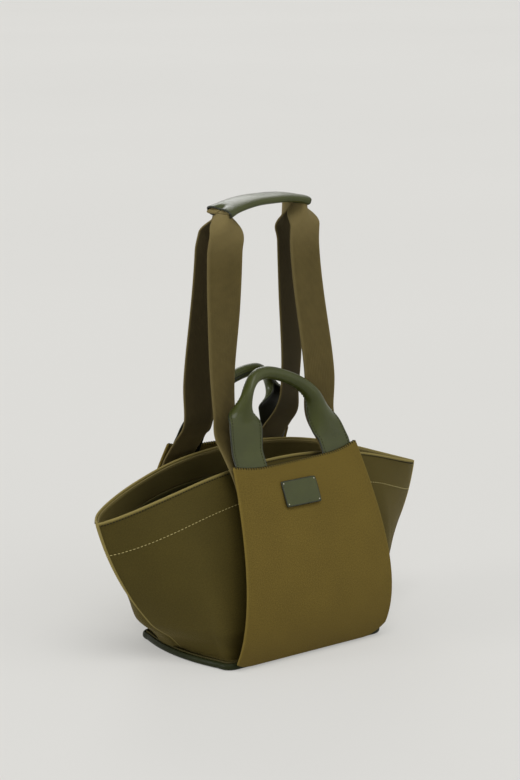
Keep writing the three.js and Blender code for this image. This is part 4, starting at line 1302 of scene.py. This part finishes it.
WALL_SEAMS = {  # line, reach from the middle to the tips, thread and stitch
    "hem_stitches": (wall_seam(hem_depths - 1, 0.2), 1.0, pale_thread, (4.2, 3.1, 1.0)),
    "mouth_stitches": (wall_seam(2.6, 0.3), 0.985, dark_thread, (3.3, 2.1, 1.5)),
    "inner_mouth_stitches": (wall_seam(3.0, -SHELL - HEM - 0.2), 0.93, dull_thread, (3.4, 2.4, 0.8)),
}
for name, (line, reach, thread, size) in WALL_SEAMS.items():
    lines = [settle(line, side)[np.abs(SIDES) <= reach] for side in ("front", "back")]
    stitch(name, lines, thread, size, "bag")

top_lines = [(grid[-1] - normals_of(grid)[-1] * SHELL / 2)[1:-1] for grid in panel_faces.values()]
stitch("panel_top_stitches", top_lines, dark_thread, (3.3, 2.2, 4.5), "bag")

# %% Seams of the handles and the pad
SEAM_RISE = 0.1


def long_seams(grid, column):
    """Lines along both edges of a sheet, on a column counted from each."""
    raised = grid + normals_of(grid) * SEAM_RISE
    return [raised[4:-4, c] for c in (column, -column - 1)]


for side, grid in handle_grids.items():
    lines = long_seams(grid, 2)
    swing(stitch(f"{side}_handle_stitches", lines, dark_thread, (3.4, 2.4, 0.8)), side)
stitch("pad_stitches", long_seams(pad_face, 3), dark_thread, (3.2, 2.3, 0.6), "pad")

# %% Pins of the label
PIN_INSET, PIN_SINK, PIN_SIZE = 3, 0.35, (1.0, 1.7, 1.7)
pin_x, pin_up = LABEL_WIDTH / 2 - PIN_INSET, LABEL_HEIGHT / 2 - PIN_INSET
pin_places = [
    on_label(x, up, LABEL / 2 - PIN_SINK) for x in (-pin_x, pin_x) for up in (-pin_up, pin_up)
]
pin_lines = [np.array([p - label_along * 0.1, p + label_along * 0.1]) for p in pin_places]
stitch("label_pins", pin_lines, metal, PIN_SIZE, "bag", tilt=0.0)

# %% [markdown]
# ## Inside the mouth
# A magnetic snap closes the mouth, and a zip pocket lies on the back lining. The turned metal pieces keep
# their solid shapes. The tape is a sheet on the lining, and the teeth are grown along it.

# %% Zip and snap
ZIP_HALF, ZIP_HEIGHT, TAPE_WIDTH, TAPE_MARGIN = 60, 158, 22, 6
TAPE, TOOTH_RISE, TOOTH_SHIFT, TOOTH_SIZE = 0.8, 0.9, 0.9, (2.2, 1.2, 2.6)
POCKET, POCKET_DROP = 1.0, 95
tape_depth = LINING_DEPTH + LINING + SEAM
tape_half, tape_top = ZIP_HALF + TAPE_MARGIN, ZIP_HEIGHT + TAPE_WIDTH / 2


def on_wall(half, low, high, depth, columns, rows):
    """A sheet behind the back wall, between two heights."""
    x = np.linspace(-half, half, columns)
    heights = np.linspace(low, high, rows)
    face = np.stack([np.column_stack([x, wall_at(x, z), np.full(columns, z)]) for z in heights])
    return turned(face - normals_of(face) * depth)


tape_grid = on_wall(tape_half, ZIP_HEIGHT - TAPE_WIDTH / 2, tape_top, tape_depth, 50, 12)
add_sheet("zip_band", tape_grid, TAPE, lining_cloth, "zip_tape", "back_lining")
pocket_grid = on_wall(tape_half, ZIP_HEIGHT - POCKET_DROP, tape_top, SHELL + SEAM, 50, 40)
add_sheet(
    "pocket_bag", pocket_grid, POCKET, lining_cloth, "inner_pocket_bag", "back_lining",
)

tooth_lines = []
for first, height in enumerate((ZIP_HEIGHT - TOOTH_SHIFT, ZIP_HEIGHT + TOOTH_SHIFT)):
    row = on_wall(ZIP_HALF, height - 0.1, height + 0.1, tape_depth + TAPE + TOOTH_RISE, 120, 2)[0]
    tooth_lines.append(row[first:])
stitch("zip_teeth", tooth_lines, metal, TOOTH_SIZE, "bag", ["zip_chain"], tilt=0.0)

for node in ("snap_socket", "snap_stud", "zip_slider", "zip_pull"):
    repaint(node, metal)
print("solid nodes kept:", [n for n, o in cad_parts.items() if not o.hide_render])

# %% [markdown]
# Last, the outer box of the dressed bag is printed beside the box of the solids, because cloth may stand a
# little proud of them.

# %% Finish
final_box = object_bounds()
for label, box in (("solids", solid_box), ("dressed", final_box)):
    print(label, [[round(v, 4) for v in c] for c in box])
